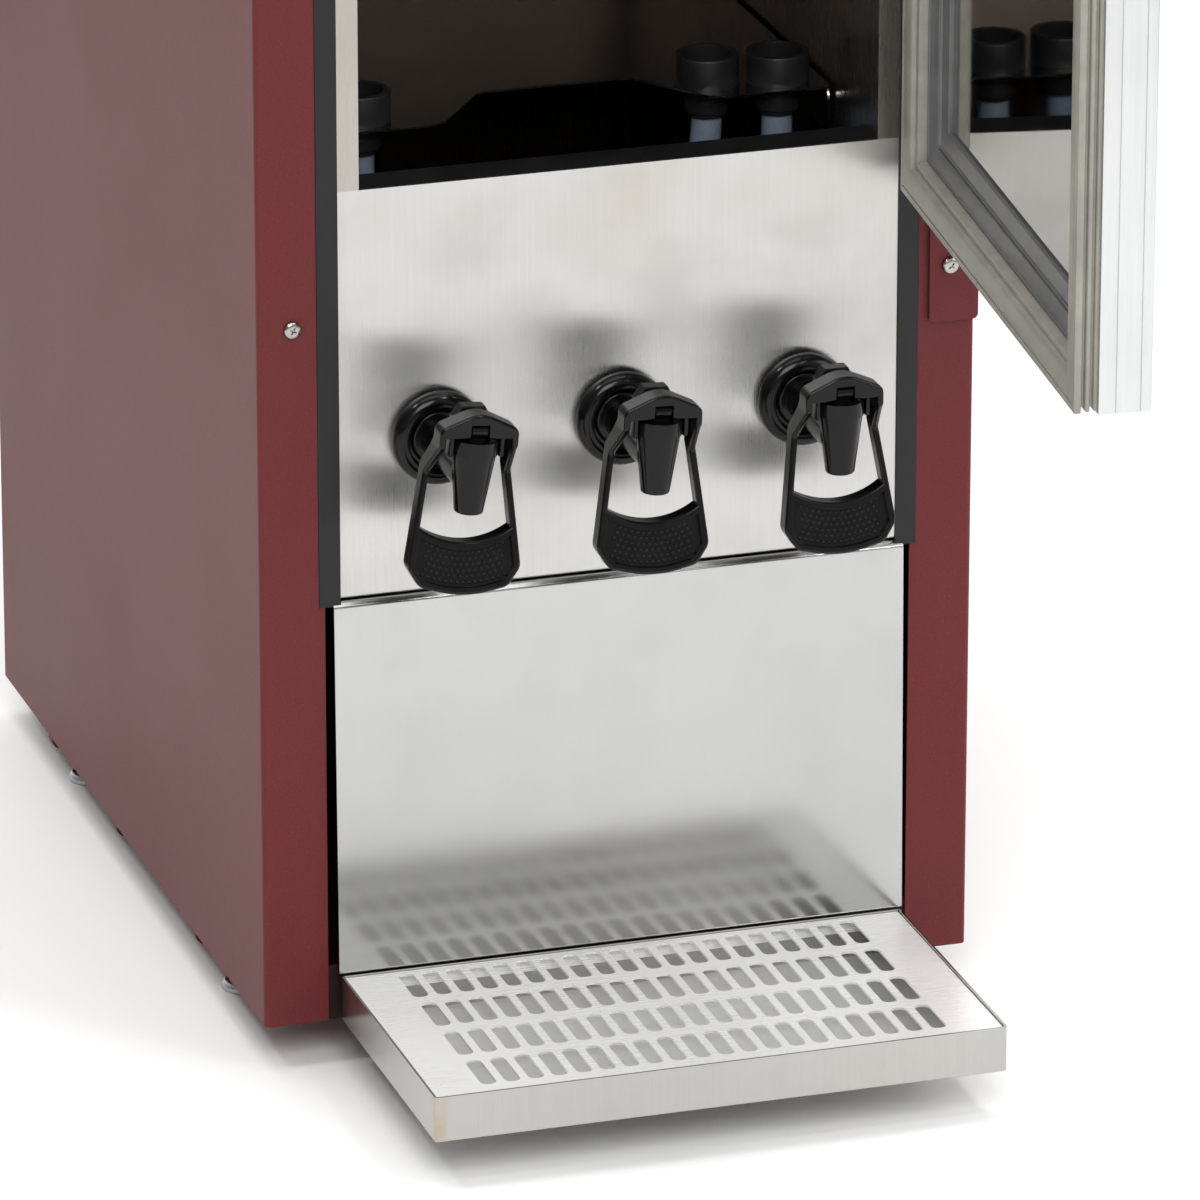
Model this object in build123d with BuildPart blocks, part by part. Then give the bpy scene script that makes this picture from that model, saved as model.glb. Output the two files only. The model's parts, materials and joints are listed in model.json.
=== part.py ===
"""Countertop wine dispenser: refrigerated cabinet, three push-back taps, drip tray, glass door.

Millimetres. X to the right, Y to the back, Z up. The door stands open. The pieces are built round
the point of the counter under the middle of the cabinet's front plane, and are saved with the
origin under the middle of the front left foot.
"""
from build123d import *
import os
from math import cos, radians, sin, tan

os.makedirs("parts", exist_ok=True)

overcut = 1.0                   # cutting blocks run this far past the face they cut

# Cabinet
cabinet_width = 381.0
cabinet_depth = 536.0
foot_height = 24.0              # counter to the bottom edge of the side shells
shell_height = 812.5
header_height = 44.1            # header strip to the top of the side shells
sheet = 1.5                     # painted and brushed cabinet sheet
flange_width = 34.0             # front flange of a side shell
rear_flange_width = 22.0
bend_radius = 3.0
pan_wall_height = 30.0
rail_depth = 8.5                # cross rails under the base pan
rail_side_gap = 8.5             # cabinet's side to a rail's end
rail_clearance = 4.0            # counter to the rails
rail_positions = (165.0, 325.0, 462.0)

# Chamber
opening_inset = 53.5            # cabinet's side to the chamber opening
chamber_front_wall = 24.0       # cabinet front plane to the chamber's inner front face
chamber_rear_wall = 64.0        # chamber's back wall to the cabinet's back
chamber_floor_wall = 26.0       # insulation under the chamber floor
liner_sheet = 1.0
jamb_width = 11.3

# Fronts
splash_side_gap = 38.0          # cabinet's side to the splash panel
splash_height = 201.8
splash_tray_gap = 0.5
splash_foot = 6.5               # how far the splash panel's foot stands in front of the flanges
splash_head = 2.5
splash_sheet = 1.2
splash_lip = 16.0
panel_gap = 1.2                 # splash top to tap panel
tap_panel_height = 216.5
insulation_rise = 9.8           # tap panel's lower edge to the insulation
panel_return = 15.0
strip_overlap = 3.2             # black edge strip over the flange edge
strip_stem = 8.0
strip_proud = 0.8
strip_gap = 0.2
sill_round = 1.0
splash_bend = 2.5
splash_bend_radius = 1.5
sill_height = 4.5
sill_lip = 8.0

# Drip tray and grate
tray_side_gap = 39.0            # cabinet's side to the tray
tray_depth = 166.5
tray_height = 24.4
tray_gap = 6.0                  # tray to the cabinet's front plane
tray_sheet = 1.2
tray_radius = 2.0
tray_underside = 26.3           # above the counter
bracket_sheet = 2.0
bracket_arm = 26.0
bracket_reach = 150.0
bracket_side_gap = 6.5          # tray's side to the bracket
bracket_rise = 18.0
slot_shift = 2.8                # slot pattern behind the tray's middle
grate_sheet = 1.2
grate_recess = 1.0
grate_clearance = 0.4
grate_skirt = 8.0
slot_width = 8.3
slot_length = 31.0
slot_corner = 3.4
slot_pitch = 12.56
row_pitch = 39.3
slot_margin_side = 26.0
slot_margin_end = 6.5

# Feet
foot_side_inset = 20.5          # cabinet's side to a foot's axis
foot_inset = 112.0              # feet to the cabinet's front and rear planes
glide_diameter = 24.5
glide_height = 5.0
glide_edge = 0.6
foot_hex = 13.0
foot_hex_height = 5.0
foot_stem_diameter = 8.0
foot_stem_top = 48.0
foot_stem_chamfer = 1.0
running_clearance = 0.05
boss_diameter = 18.0
boss_height = 8.0

# Door, closed against the front plane when its joint is at the lower limit
door_open_angle = 84.4
pivot_inset = 22.9              # hinge axis to the cabinet's side
pivot_stand_off = 26.7          # hinge axis to the front plane
door_overlap_side = 38.0        # door frame beyond the chamber opening
door_overlap_end = 23.0
gasket_inset = 1.0
gasket_width = 21.5
gasket_thickness = 12.4
gasket_gap = 0.3                # to the edge strips, door closed
gasket_corner = 4.0
frame_depth = 26.5
frame_face = 30.0
frame_lip = 2.0
frame_corner = 2.0
pane_step = 4.0
pane_thickness = 4.0
outer_lip_overlap = 6.0
pane_clearance = 0.3
liner_frame_inner = 16.0        # width of the plastic frame over the inner pane
liner_frame_rise = 4.0
liner_frame_bevel = 3.0
inner_pane_depth = 4.2          # door frame's back face to the inner pane

# Hinges
hinge_plate_width = 26.5
hinge_plate_height = 73.5
hinge_sheet = 2.5
hinge_leaf = 3.0
hinge_leaf_depth = 42.0
hinge_leaf_width = 31.5
hinge_corner = 3.0
hinge_overhang = 1.0            # plate past the cabinet's side
hinge_pin_diameter = 8.0
hinge_pin_length = 12.0
bush_height = 4.0
bush_diameter = 16.0

# Screws
screw_head_diameter = 9.0
screw_head_height = 2.6
screw_shank_diameter = 4.0
screw_hole_clearance = 0.1
flange_screw_inset = 18.1       # from the cabinet's side
plate_screw_drop = 43.0         # lower hinge leaf to the screws of the front flanges
plate_screw_inset = 14.5
rear_screw_end = 40.0           # rear screws to the ends of the shell

# Taps
tap_pitch = 97.2
tap_rise = 83.1                 # lower edge of the tap panel to the tap axis
tap_turns = (5.6, 3.0, 0.0)     # each tap turned on its shank, left to right
collar_diameter = 49.4
collar_depth = 11.0
collar_cup_diameter = 34.0
collar_cup_depth = 7.0
collar_round = 6.0
collar_lip_round = 1.0
collar_rear_round = 4.6
collar_edge = 0.3
shank_diameter = 22.0
shank_clearance = 0.3
shank_length = 46.0             # front plane to the shank's end inside the chamber
barrel_shoulder = 4.0           # front plane to the shoulder that holds the collar
shoulder_diameter = 30.0
shoulder_thickness = 3.5
barrel_diameter = 21.0
spout_reach = 61.0              # front plane to the spout axis
spout_top_diameter = 23.6
spout_bottom_diameter = 14.8
spout_drop = 20.1               # tap axis to the spout's mouth
spout_ring_height = 7.8
spout_ring_top = 18.8           # above the tap axis
ring_step = 0.5
flow_diameter = 9.0
mouth_round = 1.2
rib_thickness = 5.0             # rib under the barrel
rib_reach = 40.0                # along the barrel, back from the spout axis
rib_above_mouth = 4.0
bonnet_width = 19.0
bonnet_depth = 10.0
bonnet_top_width = 12.0
bonnet_top_depth = 7.0
bonnet_height = 14.4            # above the spout ring
bonnet_bevel_height = 6.5
bonnet_set_back = 9.8           # spout axis to the bonnet's middle
lug_width = 8.0
lug_radius = 3.4
lever_pivot_forward = 4.0       # spout axis to the lever's pin
lever_pivot_up = 23.7           # tap axis to the lever's pin
lever_pin_diameter = 3.0
lever_drop = 62.9               # tap axis to the lever's lowest point
lever_band = 3.4
lever_thickness = 8.5
lever_lean = 11.5               # arms and paddle lean forward
lever_round = 1.4
crown_front = 4.0               # lever's pin to the crown's front face
crown_thickness = 11.5
crown_apex = 95.9               # heights above the lever's lowest point
apex_run = 7.0                  # half width and fall of the rounded apex
apex_fall = 1.5
crown_half_width = 20.6
crown_shoulder = 88.4
crown_foot = 77.6
neck_half_width = 23.2
neck_height = 61.1
heel_half_width = 29.9
heel_height = 13.6
heel_tuck = 6.7
heel_toe = 3.8
bottom_run = 12.0               # half width and rise of the paddle's lower arc
bottom_rise = 1.2
crown_corner = 5.0
heel_corner = 7.0
paddle_reach = 34.0
paddle_mid_height = 26.1
paddle_end_height = 43.1
pad_rim = 3.6
pad_sink = 2.0
joggle_rise = 79.1              # the lever's lowest point to its kink
joggle_height = 17.5
joggle_depth = 12.0             # how far the kink sets the lever's rear back
joggle_skew = 3.0
joggle_round = 3.0
crown_gap = 1.5                 # spout ring to the crown
notch_width = 9.8
notch_above_pin = 4.0
ear_thickness = 1.8
ear_gap = 0.5
ear_drop = 10.5                 # crown's lower edge to an ear's foot
ear_width = 8.0
ear_round = 1.5
stem_diameter = 4.0
stem_bore_height = 5.8          # above the spout ring
plug_chamfer = 1.0
plug_diameter = 8.0
plug_height = 7.0
plug_below_axis = 14.0
stem_above_ring = 2.2
locknut_across = 34.0
locknut_height = 8.0

# Container rack, connectors and tubes
rack_rise = 7.3                 # lower edge of the opening to the rack
rack_sheet = 1.2
rack_side_gap = 2.0
rack_front = 66.0
rack_rear_gap = 40.0
rack_skirt = 24.0
rack_skirt_corner = 8.0
rack_tab_width = 54.0
rack_ramp = 11.0
rack_corner = 3.0
rack_bay_step = 4.0             # bay's front corner behind the rack's front edge
rack_bay_round = 12.0
rack_ramp_round = 10.0
rack_tab_round = 2.0
rack_fold_round = 0.2
rack_leg_setback = 34.0
rack_bay_depth = 46.0
rack_bay_half_width = 40.0
rack_leg_width = 25.0
connector_seats = (("left", -1, 23.0, 20.0), ("middle", 1, 59.0, 26.0), ("right", 1, 23.0, 20.0))
connector_neck_diameter = 20.0
connector_neck_drop = 16.0      # below the rack
connector_neck_clearance = 0.3
connector_cup_diameter = 33.0
connector_cup_height = 16.0
socket_diameter = 26.0
socket_depth = 11.0
connector_edge = 1.0
connector_bore = 8.0
connector_ring_diameter = 23.0
connector_ring_height = 6.0
tube_diameter = 16.0
tube_bore = 10.0
tube_first_drop = 0.2           # share of the drop that runs straight down
tube_bends = ((0.2, 0.45, 6.0), (0.6, 0.75, 20.0), (0.95, 0.97, 14.0))  # across, down, to the back
tube_last_run = 4.0
bend_share = 0.45               # share of a run that one bend may take

# Refrigeration
evaporator_side_gap = 19.0      # plate to the chamber's side walls
evaporator_top_gap = 34.2       # plate to the chamber's ceiling
evaporator_sheet = 3.0
evaporator_gap = 14.0           # plate to the chamber's back wall
evaporator_rise = 20.0          # above the chamber floor
evaporator_channels = 7
channel_width = 10.0
channel_rise = 2.0
channel_inset = 19.0            # plate's sides to the channels
evaporator_post = 10.0
evaporator_post_inset = 30.0
compressor_side_gap = 24.0      # can to the side shell
compressor_setback = 148.0      # can's axis in front of the condenser
compressor_diameter = 140.0
compressor_height = 150.0
compressor_dome = 32.0
stub_length = 6.0
stub_wall = 2.0
seam_rise = 82.5
seam_height = 4.0
seam_depth = 3.0
discharge_shift = 15.0
discharge_rise = 110.0
suction_rise = 60.0
compressor_plate = 3.0
compressor_plate_size = (170.0, 130.0)
grommet_diameter = 18.0
grommet_height = 10.0
condenser_side_gap = 14.0       # block to the side shell
condenser_rear_gap = 24.5       # block to the rear cover
condenser_width = 190.0
condenser_depth = 32.0
condenser_height = 190.0
condenser_fins = 24
fin_gap = 4.0
fin_end = 6.0                   # block's ends without fins
fan_bore = 150.0
fan_tip_gap = 3.0
fan_plate = 3.0
fan_ring_depth = 22.0
fan_ring_wall = 2.5
fan_motor_diameter = 62.0
fan_motor_depth = 34.0
fan_shaft_diameter = 6.0
fan_hub_diameter = 40.0
fan_hub_depth = 18.0
fan_hub_gap = 2.0
blade_root_depth = 3.0          # blades let into the hub
fan_strut = 6.0
fan_blade_chord = 34.0
fan_blades = 5
fan_blade_thickness = 2.0
fan_blade_pitch = 28.0
line_diameter = 6.0
line_clearance = 0.3
line_rise = 20.0                # evaporator's lower edge to its lines
liquid_line_x = -45.0
suction_line_x = -75.0
line_channel_width = 66.0
line_channel_rise = 20.0
port_inset = 30.0               # condenser's ends to its ports
line_turn = 20.0
line_sweep = 12.0
line_lift = 24.0

# Rear controls
control_inset = 60.5            # cabinet's left side to the controls
inlet_rise = 60.5               # base pan floor to the inlet's middle
inlet_width = 30.0
inlet_height = 58.0
inlet_flange = 2.0
inlet_corner = 3.0
inlet_lap = 2.0                 # flange over the edge of its hole
inlet_clearance = 0.2
inlet_body_depth = 30.0
socket_width = 24.6
socket_height = 17.0
socket_recess = 16.0
rocker_width = 13.0
rocker_height = 19.0
rocker_tilt = 8.0
rocker_depth = 14.0
rocker_sink = 5.0
rocker_clearance = 0.6
rocker_end = 1.5
rocker_crest = 2.4
rocker_valley = 0.6
blade_spread = 7.0
blade_rise = 2.5
blade_width = 2.0
blade_height = 4.0
blade_recess = 3.0
knob_rise = 79.0                # inlet's middle to the thermostat's axis
knob_diameter = 34.0
knob_height = 14.0
knob_shaft_diameter = 6.0
knob_shaft_depth = 12.0
knob_seat_gap = 0.5
knob_grips = 18
knob_edge = 2.0
grip_diameter = 3.0
grip_stand_off = 0.5
mark_width = 2.0
mark_depth = 0.6
mark_start = 4.0
thermostat_size = (44.0, 26.0, 40.0)
thermostat_corner = 3.0
grille_slot = (5.0, 52.0)
grille_pitch = 9.0
grille_columns = 20
grille_rows = 3

# Levels and places worked out from the sizes above
half_width = cabinet_width / 2
inner_half = half_width - sheet
inner_bend = bend_radius - sheet + 0.1
shell_rear = cabinet_depth - sheet
front_inner_edge = half_width - flange_width
opening_half = half_width - opening_inset
tray_width = cabinet_width - 2 * tray_side_gap
bracket_width = tray_width - 2 * bracket_side_gap
splash_width = cabinet_width - 2 * splash_side_gap
splash_bottom_z = tray_underside + tray_height + splash_tray_gap
splash_top_z = splash_bottom_z + splash_height
panel_bottom_z = splash_top_z + panel_gap
opening_bottom_z = panel_bottom_z + tap_panel_height
panel_half = opening_half + jamb_width
strip_width = front_inner_edge - panel_half + strip_overlap
shell_top = foot_height + shell_height
header_bottom_z = shell_top - header_height
strip_bottom_z = splash_top_z - splash_bend + strip_gap
strip_top_z = header_bottom_z + strip_overlap
opening_top_z = strip_top_z - strip_width
chamber_back = cabinet_depth - chamber_rear_wall
pan_floor_z = foot_height + sheet
insulation_bottom_z = panel_bottom_z + insulation_rise
chamber_floor_z = insulation_bottom_z + chamber_floor_wall
tap_z = panel_bottom_z + tap_rise
rack_z = opening_bottom_z + rack_rise
pivot_x = half_width - pivot_inset
pivot_y = -pivot_stand_off
door_bottom_z = opening_bottom_z - door_overlap_end
door_top_z = opening_top_z + door_overlap_end
lower_leaf_top = door_bottom_z - bush_height
upper_leaf_bottom = door_top_z + bush_height
condenser_x = inner_half - condenser_side_gap - condenser_width / 2
condenser_y = shell_rear - condenser_rear_gap - condenser_depth
compressor_x = -(inner_half - compressor_side_gap - compressor_diameter / 2)
compressor_y = condenser_y - compressor_setback
control_x = -(half_width - control_inset)
inlet_z = pan_floor_z + inlet_rise
knob_z = inlet_z + knob_rise
tap_places = [(name, place * tap_pitch) for name, place in (("left", -1), ("middle", 0), ("right", 1))]
foot_places = [(f"{row}_{side}", sign * (half_width - foot_side_inset), y)
               for row, y in (("front", foot_inset), ("rear", cabinet_depth - foot_inset))
               for side, sign in (("left", -1), ("right", 1))]
sides = (("left", -1), ("right", 1))


def save(part, name):
    """Move one finished piece to the foot's origin, label it and write it to its own file."""
    piece = part.moved(Location((half_width - foot_side_inset, -foot_inset, 0)))
    piece.label = name
    export_step(piece, f"parts/{name}.step")


def span(low, high):
    """Middle of a stretch."""
    return (low + high) / 2


def slab(x_low, x_high, y_low, y_high, z_low, z_high, mode=Mode.ADD):
    """Axis-aligned box between two corners, inside a part block."""
    with Locations((span(x_low, x_high), span(y_low, y_high), span(z_low, z_high))):
        Box(x_high - x_low, y_high - y_low, z_high - z_low, mode=mode)


def front_plane(y):
    """Upright plane at a depth y: sketch x to the right, sketch y up, normal to the front."""
    return Plane.XZ.offset(-y)


def rod_y(x, z, y_low, y_high, diameter, mode=Mode.ADD):
    """Cylinder along Y, inside a part block."""
    with Locations(Plane((x, span(y_low, y_high), z), x_dir=(1, 0, 0), z_dir=(0, 1, 0))):
        Cylinder(diameter / 2, y_high - y_low, mode=mode)


def rod_z(x, y, z_low, z_high, diameter, mode=Mode.ADD):
    """Upright cylinder, inside a part block."""
    with Locations((x, y, span(z_low, z_high))):
        Cylinder(diameter / 2, z_high - z_low, mode=mode)


# Side shells: one folded sheet each, front and rear flanges turned inwards
screw_hole = screw_shank_diameter + 2 * screw_hole_clearance
flange_screw_z = lower_leaf_top - plate_screw_drop
upper_screw_z = span(upper_leaf_bottom + hinge_leaf, shell_top)
flange_screws = [(-(half_width - flange_screw_inset), flange_screw_z, 0.0),
                 (-(half_width - flange_screw_inset), upper_screw_z, 0.0),
                 (half_width - plate_screw_inset, flange_screw_z, hinge_sheet),
                 (half_width - plate_screw_inset, upper_screw_z, hinge_sheet)]
rear_screw_inset = rear_flange_width / 2
rear_screws = [(sign * (half_width - rear_screw_inset), z)
               for _, sign in sides
               for z in (foot_height + rear_screw_end, span(foot_height, shell_top),
                         shell_top - rear_screw_end)]

for side, sign in sides:
    with BuildPart() as side_shell:
        with BuildSketch(Plane.XY.offset(foot_height)):
            with BuildLine():
                fold = FilletPolyline((sign * front_inner_edge, 0), (sign * half_width, 0),
                                      (sign * half_width, shell_rear),
                                      (sign * (half_width - rear_flange_width), shell_rear),
                                      radius=bend_radius)
                offset(fold, amount=sheet, side=Side.LEFT if sign > 0 else Side.RIGHT)
            make_face()
        extrude(amount=shell_height)
        for x, z, _ in flange_screws:
            if x * sign > 0:
                rod_y(x, z, -sheet, 2 * sheet, screw_hole, Mode.SUBTRACT)
        for x, z in rear_screws:
            if x * sign > 0:
                rod_y(x, z, shell_rear - 2 * sheet, shell_rear + sheet, screw_hole, Mode.SUBTRACT)
    save(side_shell.part, f"side_shell_{side}")

# Top cover: the lid and the header above the door
with BuildPart() as top_cover:
    slab(-half_width, half_width, 0, cabinet_depth, shell_top, shell_top + sheet)
    slab(-front_inner_edge, front_inner_edge, 0, sheet, header_bottom_z, shell_top)
    fillet(top_cover.edges().filter_by(Axis.X).group_by(Axis.Z)[-1], sheet * 0.8)
    fillet(top_cover.faces().sort_by(Axis.Z)[-1].edges().filter_by(Axis.Y), sheet * 0.8)
save(top_cover.part, "top_cover")

# Rear cover with its condenser grille
condenser_mid_z = pan_floor_z + condenser_height / 2
inlet_hole = (inlet_width - 2 * inlet_lap, inlet_height - 2 * inlet_lap)
with BuildPart() as rear_cover:
    slab(-inner_half, inner_half, shell_rear, cabinet_depth, pan_floor_z, shell_top)
    with BuildSketch(Plane((0, cabinet_depth, 0), x_dir=(-1, 0, 0), z_dir=(0, 1, 0))):
        with Locations((-condenser_x, condenser_mid_z)):
            with GridLocations(grille_pitch, sum(grille_slot), grille_columns, grille_rows):
                SlotOverall(grille_slot[1], grille_slot[0], rotation=90)
        with Locations((-control_x, inlet_z)):
            Rectangle(*inlet_hole)
        with Locations((-control_x, knob_z)):
            Circle(knob_shaft_diameter / 2 + 4 * running_clearance)
    extrude(amount=-sheet, mode=Mode.SUBTRACT)
    for x, z in rear_screws:
        rod_y(x, z, shell_rear - sheet, cabinet_depth + sheet, screw_hole, Mode.SUBTRACT)
save(rear_cover.part, "rear_cover")

# Base pan with raised walls, threaded foot bosses and three cross rails
foot_bore = foot_stem_diameter + 2 * running_clearance
with BuildPart() as base_pan:
    slab(-inner_half, inner_half, sheet, shell_rear - sheet, foot_height, foot_height + pan_wall_height)
    fillet(base_pan.edges().filter_by(Axis.Z), inner_bend)
    slab(-inner_half + sheet, inner_half - sheet, 2 * sheet, shell_rear - 2 * sheet,
         pan_floor_z, foot_height + pan_wall_height + sheet, Mode.SUBTRACT)
    for y in rail_positions:
        with BuildSketch(front_plane(y)) as rail:
            with Locations((0, span(rail_clearance, foot_height))):
                Rectangle(cabinet_width - 2 * rail_side_gap, foot_height - rail_clearance)
            fillet(rail.vertices().group_by(Axis.Y)[0], rail_depth * 0.7)
        extrude(amount=-rail_depth)
    for _, x, y in foot_places:
        rod_z(x, y, pan_floor_z, pan_floor_z + boss_height, boss_diameter)
        rod_z(x, y, foot_height - sheet, pan_floor_z + boss_height + sheet,
              foot_bore, Mode.SUBTRACT)
save(base_pan.part, "base_pan")


# Chamber liner: open above the sill at the front, jamb flanges turned outwards
sill_z = opening_bottom_z - sill_height
line_z = chamber_floor_z + evaporator_rise + line_rise
line_hole = line_diameter + 2 * line_clearance


def liner_envelope(mode):
    """Outside of the chamber liner, inside a part block."""
    outer = opening_half + liner_sheet
    slab(-outer, outer, 0, chamber_back + liner_sheet, sill_z, opening_top_z + liner_sheet, mode)
    slab(-outer, outer, chamber_front_wall - liner_sheet, chamber_back + liner_sheet,
         chamber_floor_z - liner_sheet, sill_z, mode)


shank_hole = shank_diameter + 2 * shank_clearance

with BuildPart() as liner:
    liner_envelope(Mode.ADD)
    slab(-opening_half, opening_half, -sheet, chamber_back, sill_z, opening_top_z, Mode.SUBTRACT)
    slab(-opening_half, opening_half, chamber_front_wall, chamber_back, chamber_floor_z, sill_z,
         Mode.SUBTRACT)
    slab(-opening_half - 2 * liner_sheet, opening_half + 2 * liner_sheet, -sheet,
         chamber_front_wall - liner_sheet, sill_z - sheet, opening_bottom_z, Mode.SUBTRACT)
    for _, sign in sides:
        slab(*sorted((sign * opening_half, sign * panel_half)), 0, liner_sheet,
             opening_bottom_z, opening_top_z)
    for _, x in tap_places:
        rod_y(x, tap_z, chamber_front_wall - 2 * liner_sheet, chamber_front_wall + liner_sheet,
              shank_hole, Mode.SUBTRACT)
    for x in (liquid_line_x, suction_line_x):
        rod_y(x, line_z, chamber_back - liner_sheet, chamber_back + 2 * liner_sheet, line_hole,
              Mode.SUBTRACT)
save(liner.part, "liner")

# Foam insulation round the liner
line_channel_x = span(liquid_line_x, suction_line_x)
stem_slot = strip_stem + strip_gap

with BuildPart() as insulation:
    slab(-inner_half, inner_half, sheet, shell_rear - sheet, insulation_bottom_z, shell_top)
    fillet(insulation.edges().filter_by(Axis.Z), inner_bend)
    liner_envelope(Mode.SUBTRACT)
    for _, sign in sides:
        slab(*sorted((sign * panel_half, sign * front_inner_edge)), 0, stem_slot,
             insulation_bottom_z - sheet, strip_top_z, Mode.SUBTRACT)
    slab(-panel_half, panel_half, 0, stem_slot, opening_top_z, strip_top_z, Mode.SUBTRACT)
    for _, x in tap_places:
        rod_y(x, tap_z, 0, chamber_front_wall, shank_hole, Mode.SUBTRACT)
    slab(line_channel_x - line_channel_width / 2, line_channel_x + line_channel_width / 2,
         chamber_back + liner_sheet, shell_rear - 3 * sheet, insulation_bottom_z - sheet,
         line_z + line_channel_rise, Mode.SUBTRACT)
save(insulation.part, "insulation")

# Tap panel: brushed sheet with three holes and a return along its lower edge
with BuildPart() as tap_panel:
    slab(-panel_half, panel_half, 0, sheet, panel_bottom_z, opening_bottom_z)
    slab(-panel_half, panel_half, 0, panel_return, panel_bottom_z, panel_bottom_z + sheet)
    fillet(tap_panel.edges().filter_by(Axis.X).sort_by(Axis.Y)[:2].sort_by(Axis.Z)[0], sheet)
    for _, x in tap_places:
        rod_y(x, tap_z, -sheet, 2 * sheet, shank_hole, Mode.SUBTRACT)
save(tap_panel.part, "tap_panel")

# Black edge strips beside the panel and round the opening
cap_round = strip_proud * 0.7
for side, sign in sides:
    with BuildPart() as edge_strip:
        slab(*sorted((sign * panel_half, sign * (panel_half + strip_width))), -strip_proud, 0,
             strip_bottom_z, strip_top_z)
        fillet(edge_strip.faces().sort_by(Axis.Y)[0].edges().filter_by(Axis.Z), cap_round)
        slab(*sorted((sign * (panel_half + strip_gap), sign * (front_inner_edge - strip_gap))),
             0, strip_stem, strip_bottom_z, strip_top_z - strip_overlap)
    save(edge_strip.part, f"edge_strip_{side}")

with BuildPart() as header_strip:
    slab(-panel_half + strip_gap, panel_half - strip_gap, -strip_proud, 0, opening_top_z, strip_top_z)
    fillet(header_strip.faces().sort_by(Axis.Y)[0].edges().filter_by(Axis.X), cap_round)
    slab(-panel_half + strip_gap, panel_half - strip_gap, 0, strip_stem,
         opening_top_z + liner_sheet + strip_gap, header_bottom_z - strip_gap)
save(header_strip.part, "header_strip")

with BuildPart() as sill_strip:
    slab(-opening_half + strip_gap, opening_half - strip_gap, sheet,
         chamber_front_wall + sheet, sill_z, opening_bottom_z)
    slab(-opening_half + strip_gap, opening_half - strip_gap, chamber_front_wall,
         chamber_front_wall + sheet, sill_z - sill_lip, sill_z)
    fillet(sill_strip.edges().filter_by(Axis.X).group_by(Axis.Z)[-1], sill_round)
save(sill_strip.part, "sill_strip")

# Splash panel: leans forward, lip tucked under the tap panel, foot turned back to the bracket
bracket_front = sheet - bracket_sheet
with BuildPart() as splash_panel:
    with BuildSketch(Plane.YZ):
        with BuildLine():
            bend = FilletPolyline((bracket_front, splash_bottom_z), (-splash_foot, splash_bottom_z),
                                  (-splash_head, splash_top_z - splash_bend),
                                  (splash_bend / 2, splash_top_z), (splash_lip, panel_bottom_z),
                                  radius=splash_bend_radius)
            offset(bend, amount=splash_sheet, side=Side.RIGHT)
        make_face()
    extrude(amount=splash_width / 2, both=True)
    for _, sign in sides:
        slab(*sorted((sign * (panel_half - strip_gap), sign * splash_width)), -strip_proud - strip_gap,
             splash_lip + sheet, splash_top_z - splash_bend, panel_bottom_z + sheet, Mode.SUBTRACT)
save(splash_panel.part, "splash_panel")

# Tray bracket: back plate on the base pan and two arms under the tray
with BuildPart() as tray_bracket:
    slab(-bracket_width / 2, bracket_width / 2, bracket_front, sheet,
         tray_underside - bracket_sheet, splash_bottom_z + bracket_rise)
    slab(-bracket_width / 2, bracket_width / 2, -bracket_reach, bracket_front,
         tray_underside - bracket_sheet, tray_underside)
    slab(-bracket_width / 2 + bracket_arm, bracket_width / 2 - bracket_arm,
         -bracket_reach - bracket_sheet, -bracket_arm, tray_underside - 2 * bracket_sheet,
         tray_underside + bracket_sheet, Mode.SUBTRACT)
save(tray_bracket.part, "tray_bracket")

# Drip tray and its lift-out slotted grate
tray_back = -tray_gap
tray_mid_y = tray_back - tray_depth / 2
tray_rim_z = tray_underside + tray_height
tray_floor_z = tray_underside + tray_sheet

with BuildPart() as drip_tray:
    with BuildSketch(Plane.XY.offset(tray_underside)):
        with Locations((0, tray_mid_y)):
            RectangleRounded(tray_width, tray_depth, tray_radius)
    extrude(amount=tray_height)
    with BuildSketch(Plane.XY.offset(tray_floor_z)):
        with Locations((0, tray_mid_y)):
            RectangleRounded(tray_width - 2 * tray_sheet, tray_depth - 2 * tray_sheet,
                             tray_radius - tray_sheet)
    extrude(amount=tray_height, mode=Mode.SUBTRACT)
    fillet(drip_tray.faces().sort_by(Axis.Z)[0].edges(), tray_sheet * 0.8)
save(drip_tray.part, "drip_tray")

grate_width = tray_width - 2 * (tray_sheet + grate_clearance)
grate_depth = tray_depth - 2 * (tray_sheet + grate_clearance)
grate_top_z = tray_rim_z - grate_recess
slot_columns = int((grate_width - 2 * slot_margin_side - slot_width) / slot_pitch) + 1
slot_rows = int((grate_depth - 2 * slot_margin_end - slot_length) / row_pitch) + 1
with BuildPart() as drip_grate:
    with BuildSketch(Plane.XY.offset(grate_top_z - grate_sheet)):
        with Locations((0, tray_mid_y)):
            RectangleRounded(grate_width, grate_depth, tray_radius - tray_sheet)
            with Locations((0, slot_shift)):
                with GridLocations(slot_pitch, row_pitch, slot_columns, slot_rows):
                    RectangleRounded(slot_width, slot_length, slot_corner, mode=Mode.SUBTRACT)
    extrude(amount=grate_sheet)
    for _, sign in sides:
        edge = sign * grate_width / 2
        slab(*sorted((edge, edge - sign * grate_sheet)), tray_mid_y - grate_depth / 2 + tray_radius,
             tray_mid_y + grate_depth / 2 - tray_radius, tray_floor_z, grate_top_z - grate_sheet)
        back = tray_mid_y + sign * grate_depth / 2
        slab(-grate_width / 2 + tray_radius, grate_width / 2 - tray_radius,
             *sorted((back, back - sign * grate_sheet)), grate_top_z - grate_skirt,
             grate_top_z - grate_sheet)
save(drip_grate.part, "drip_grate")

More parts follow.
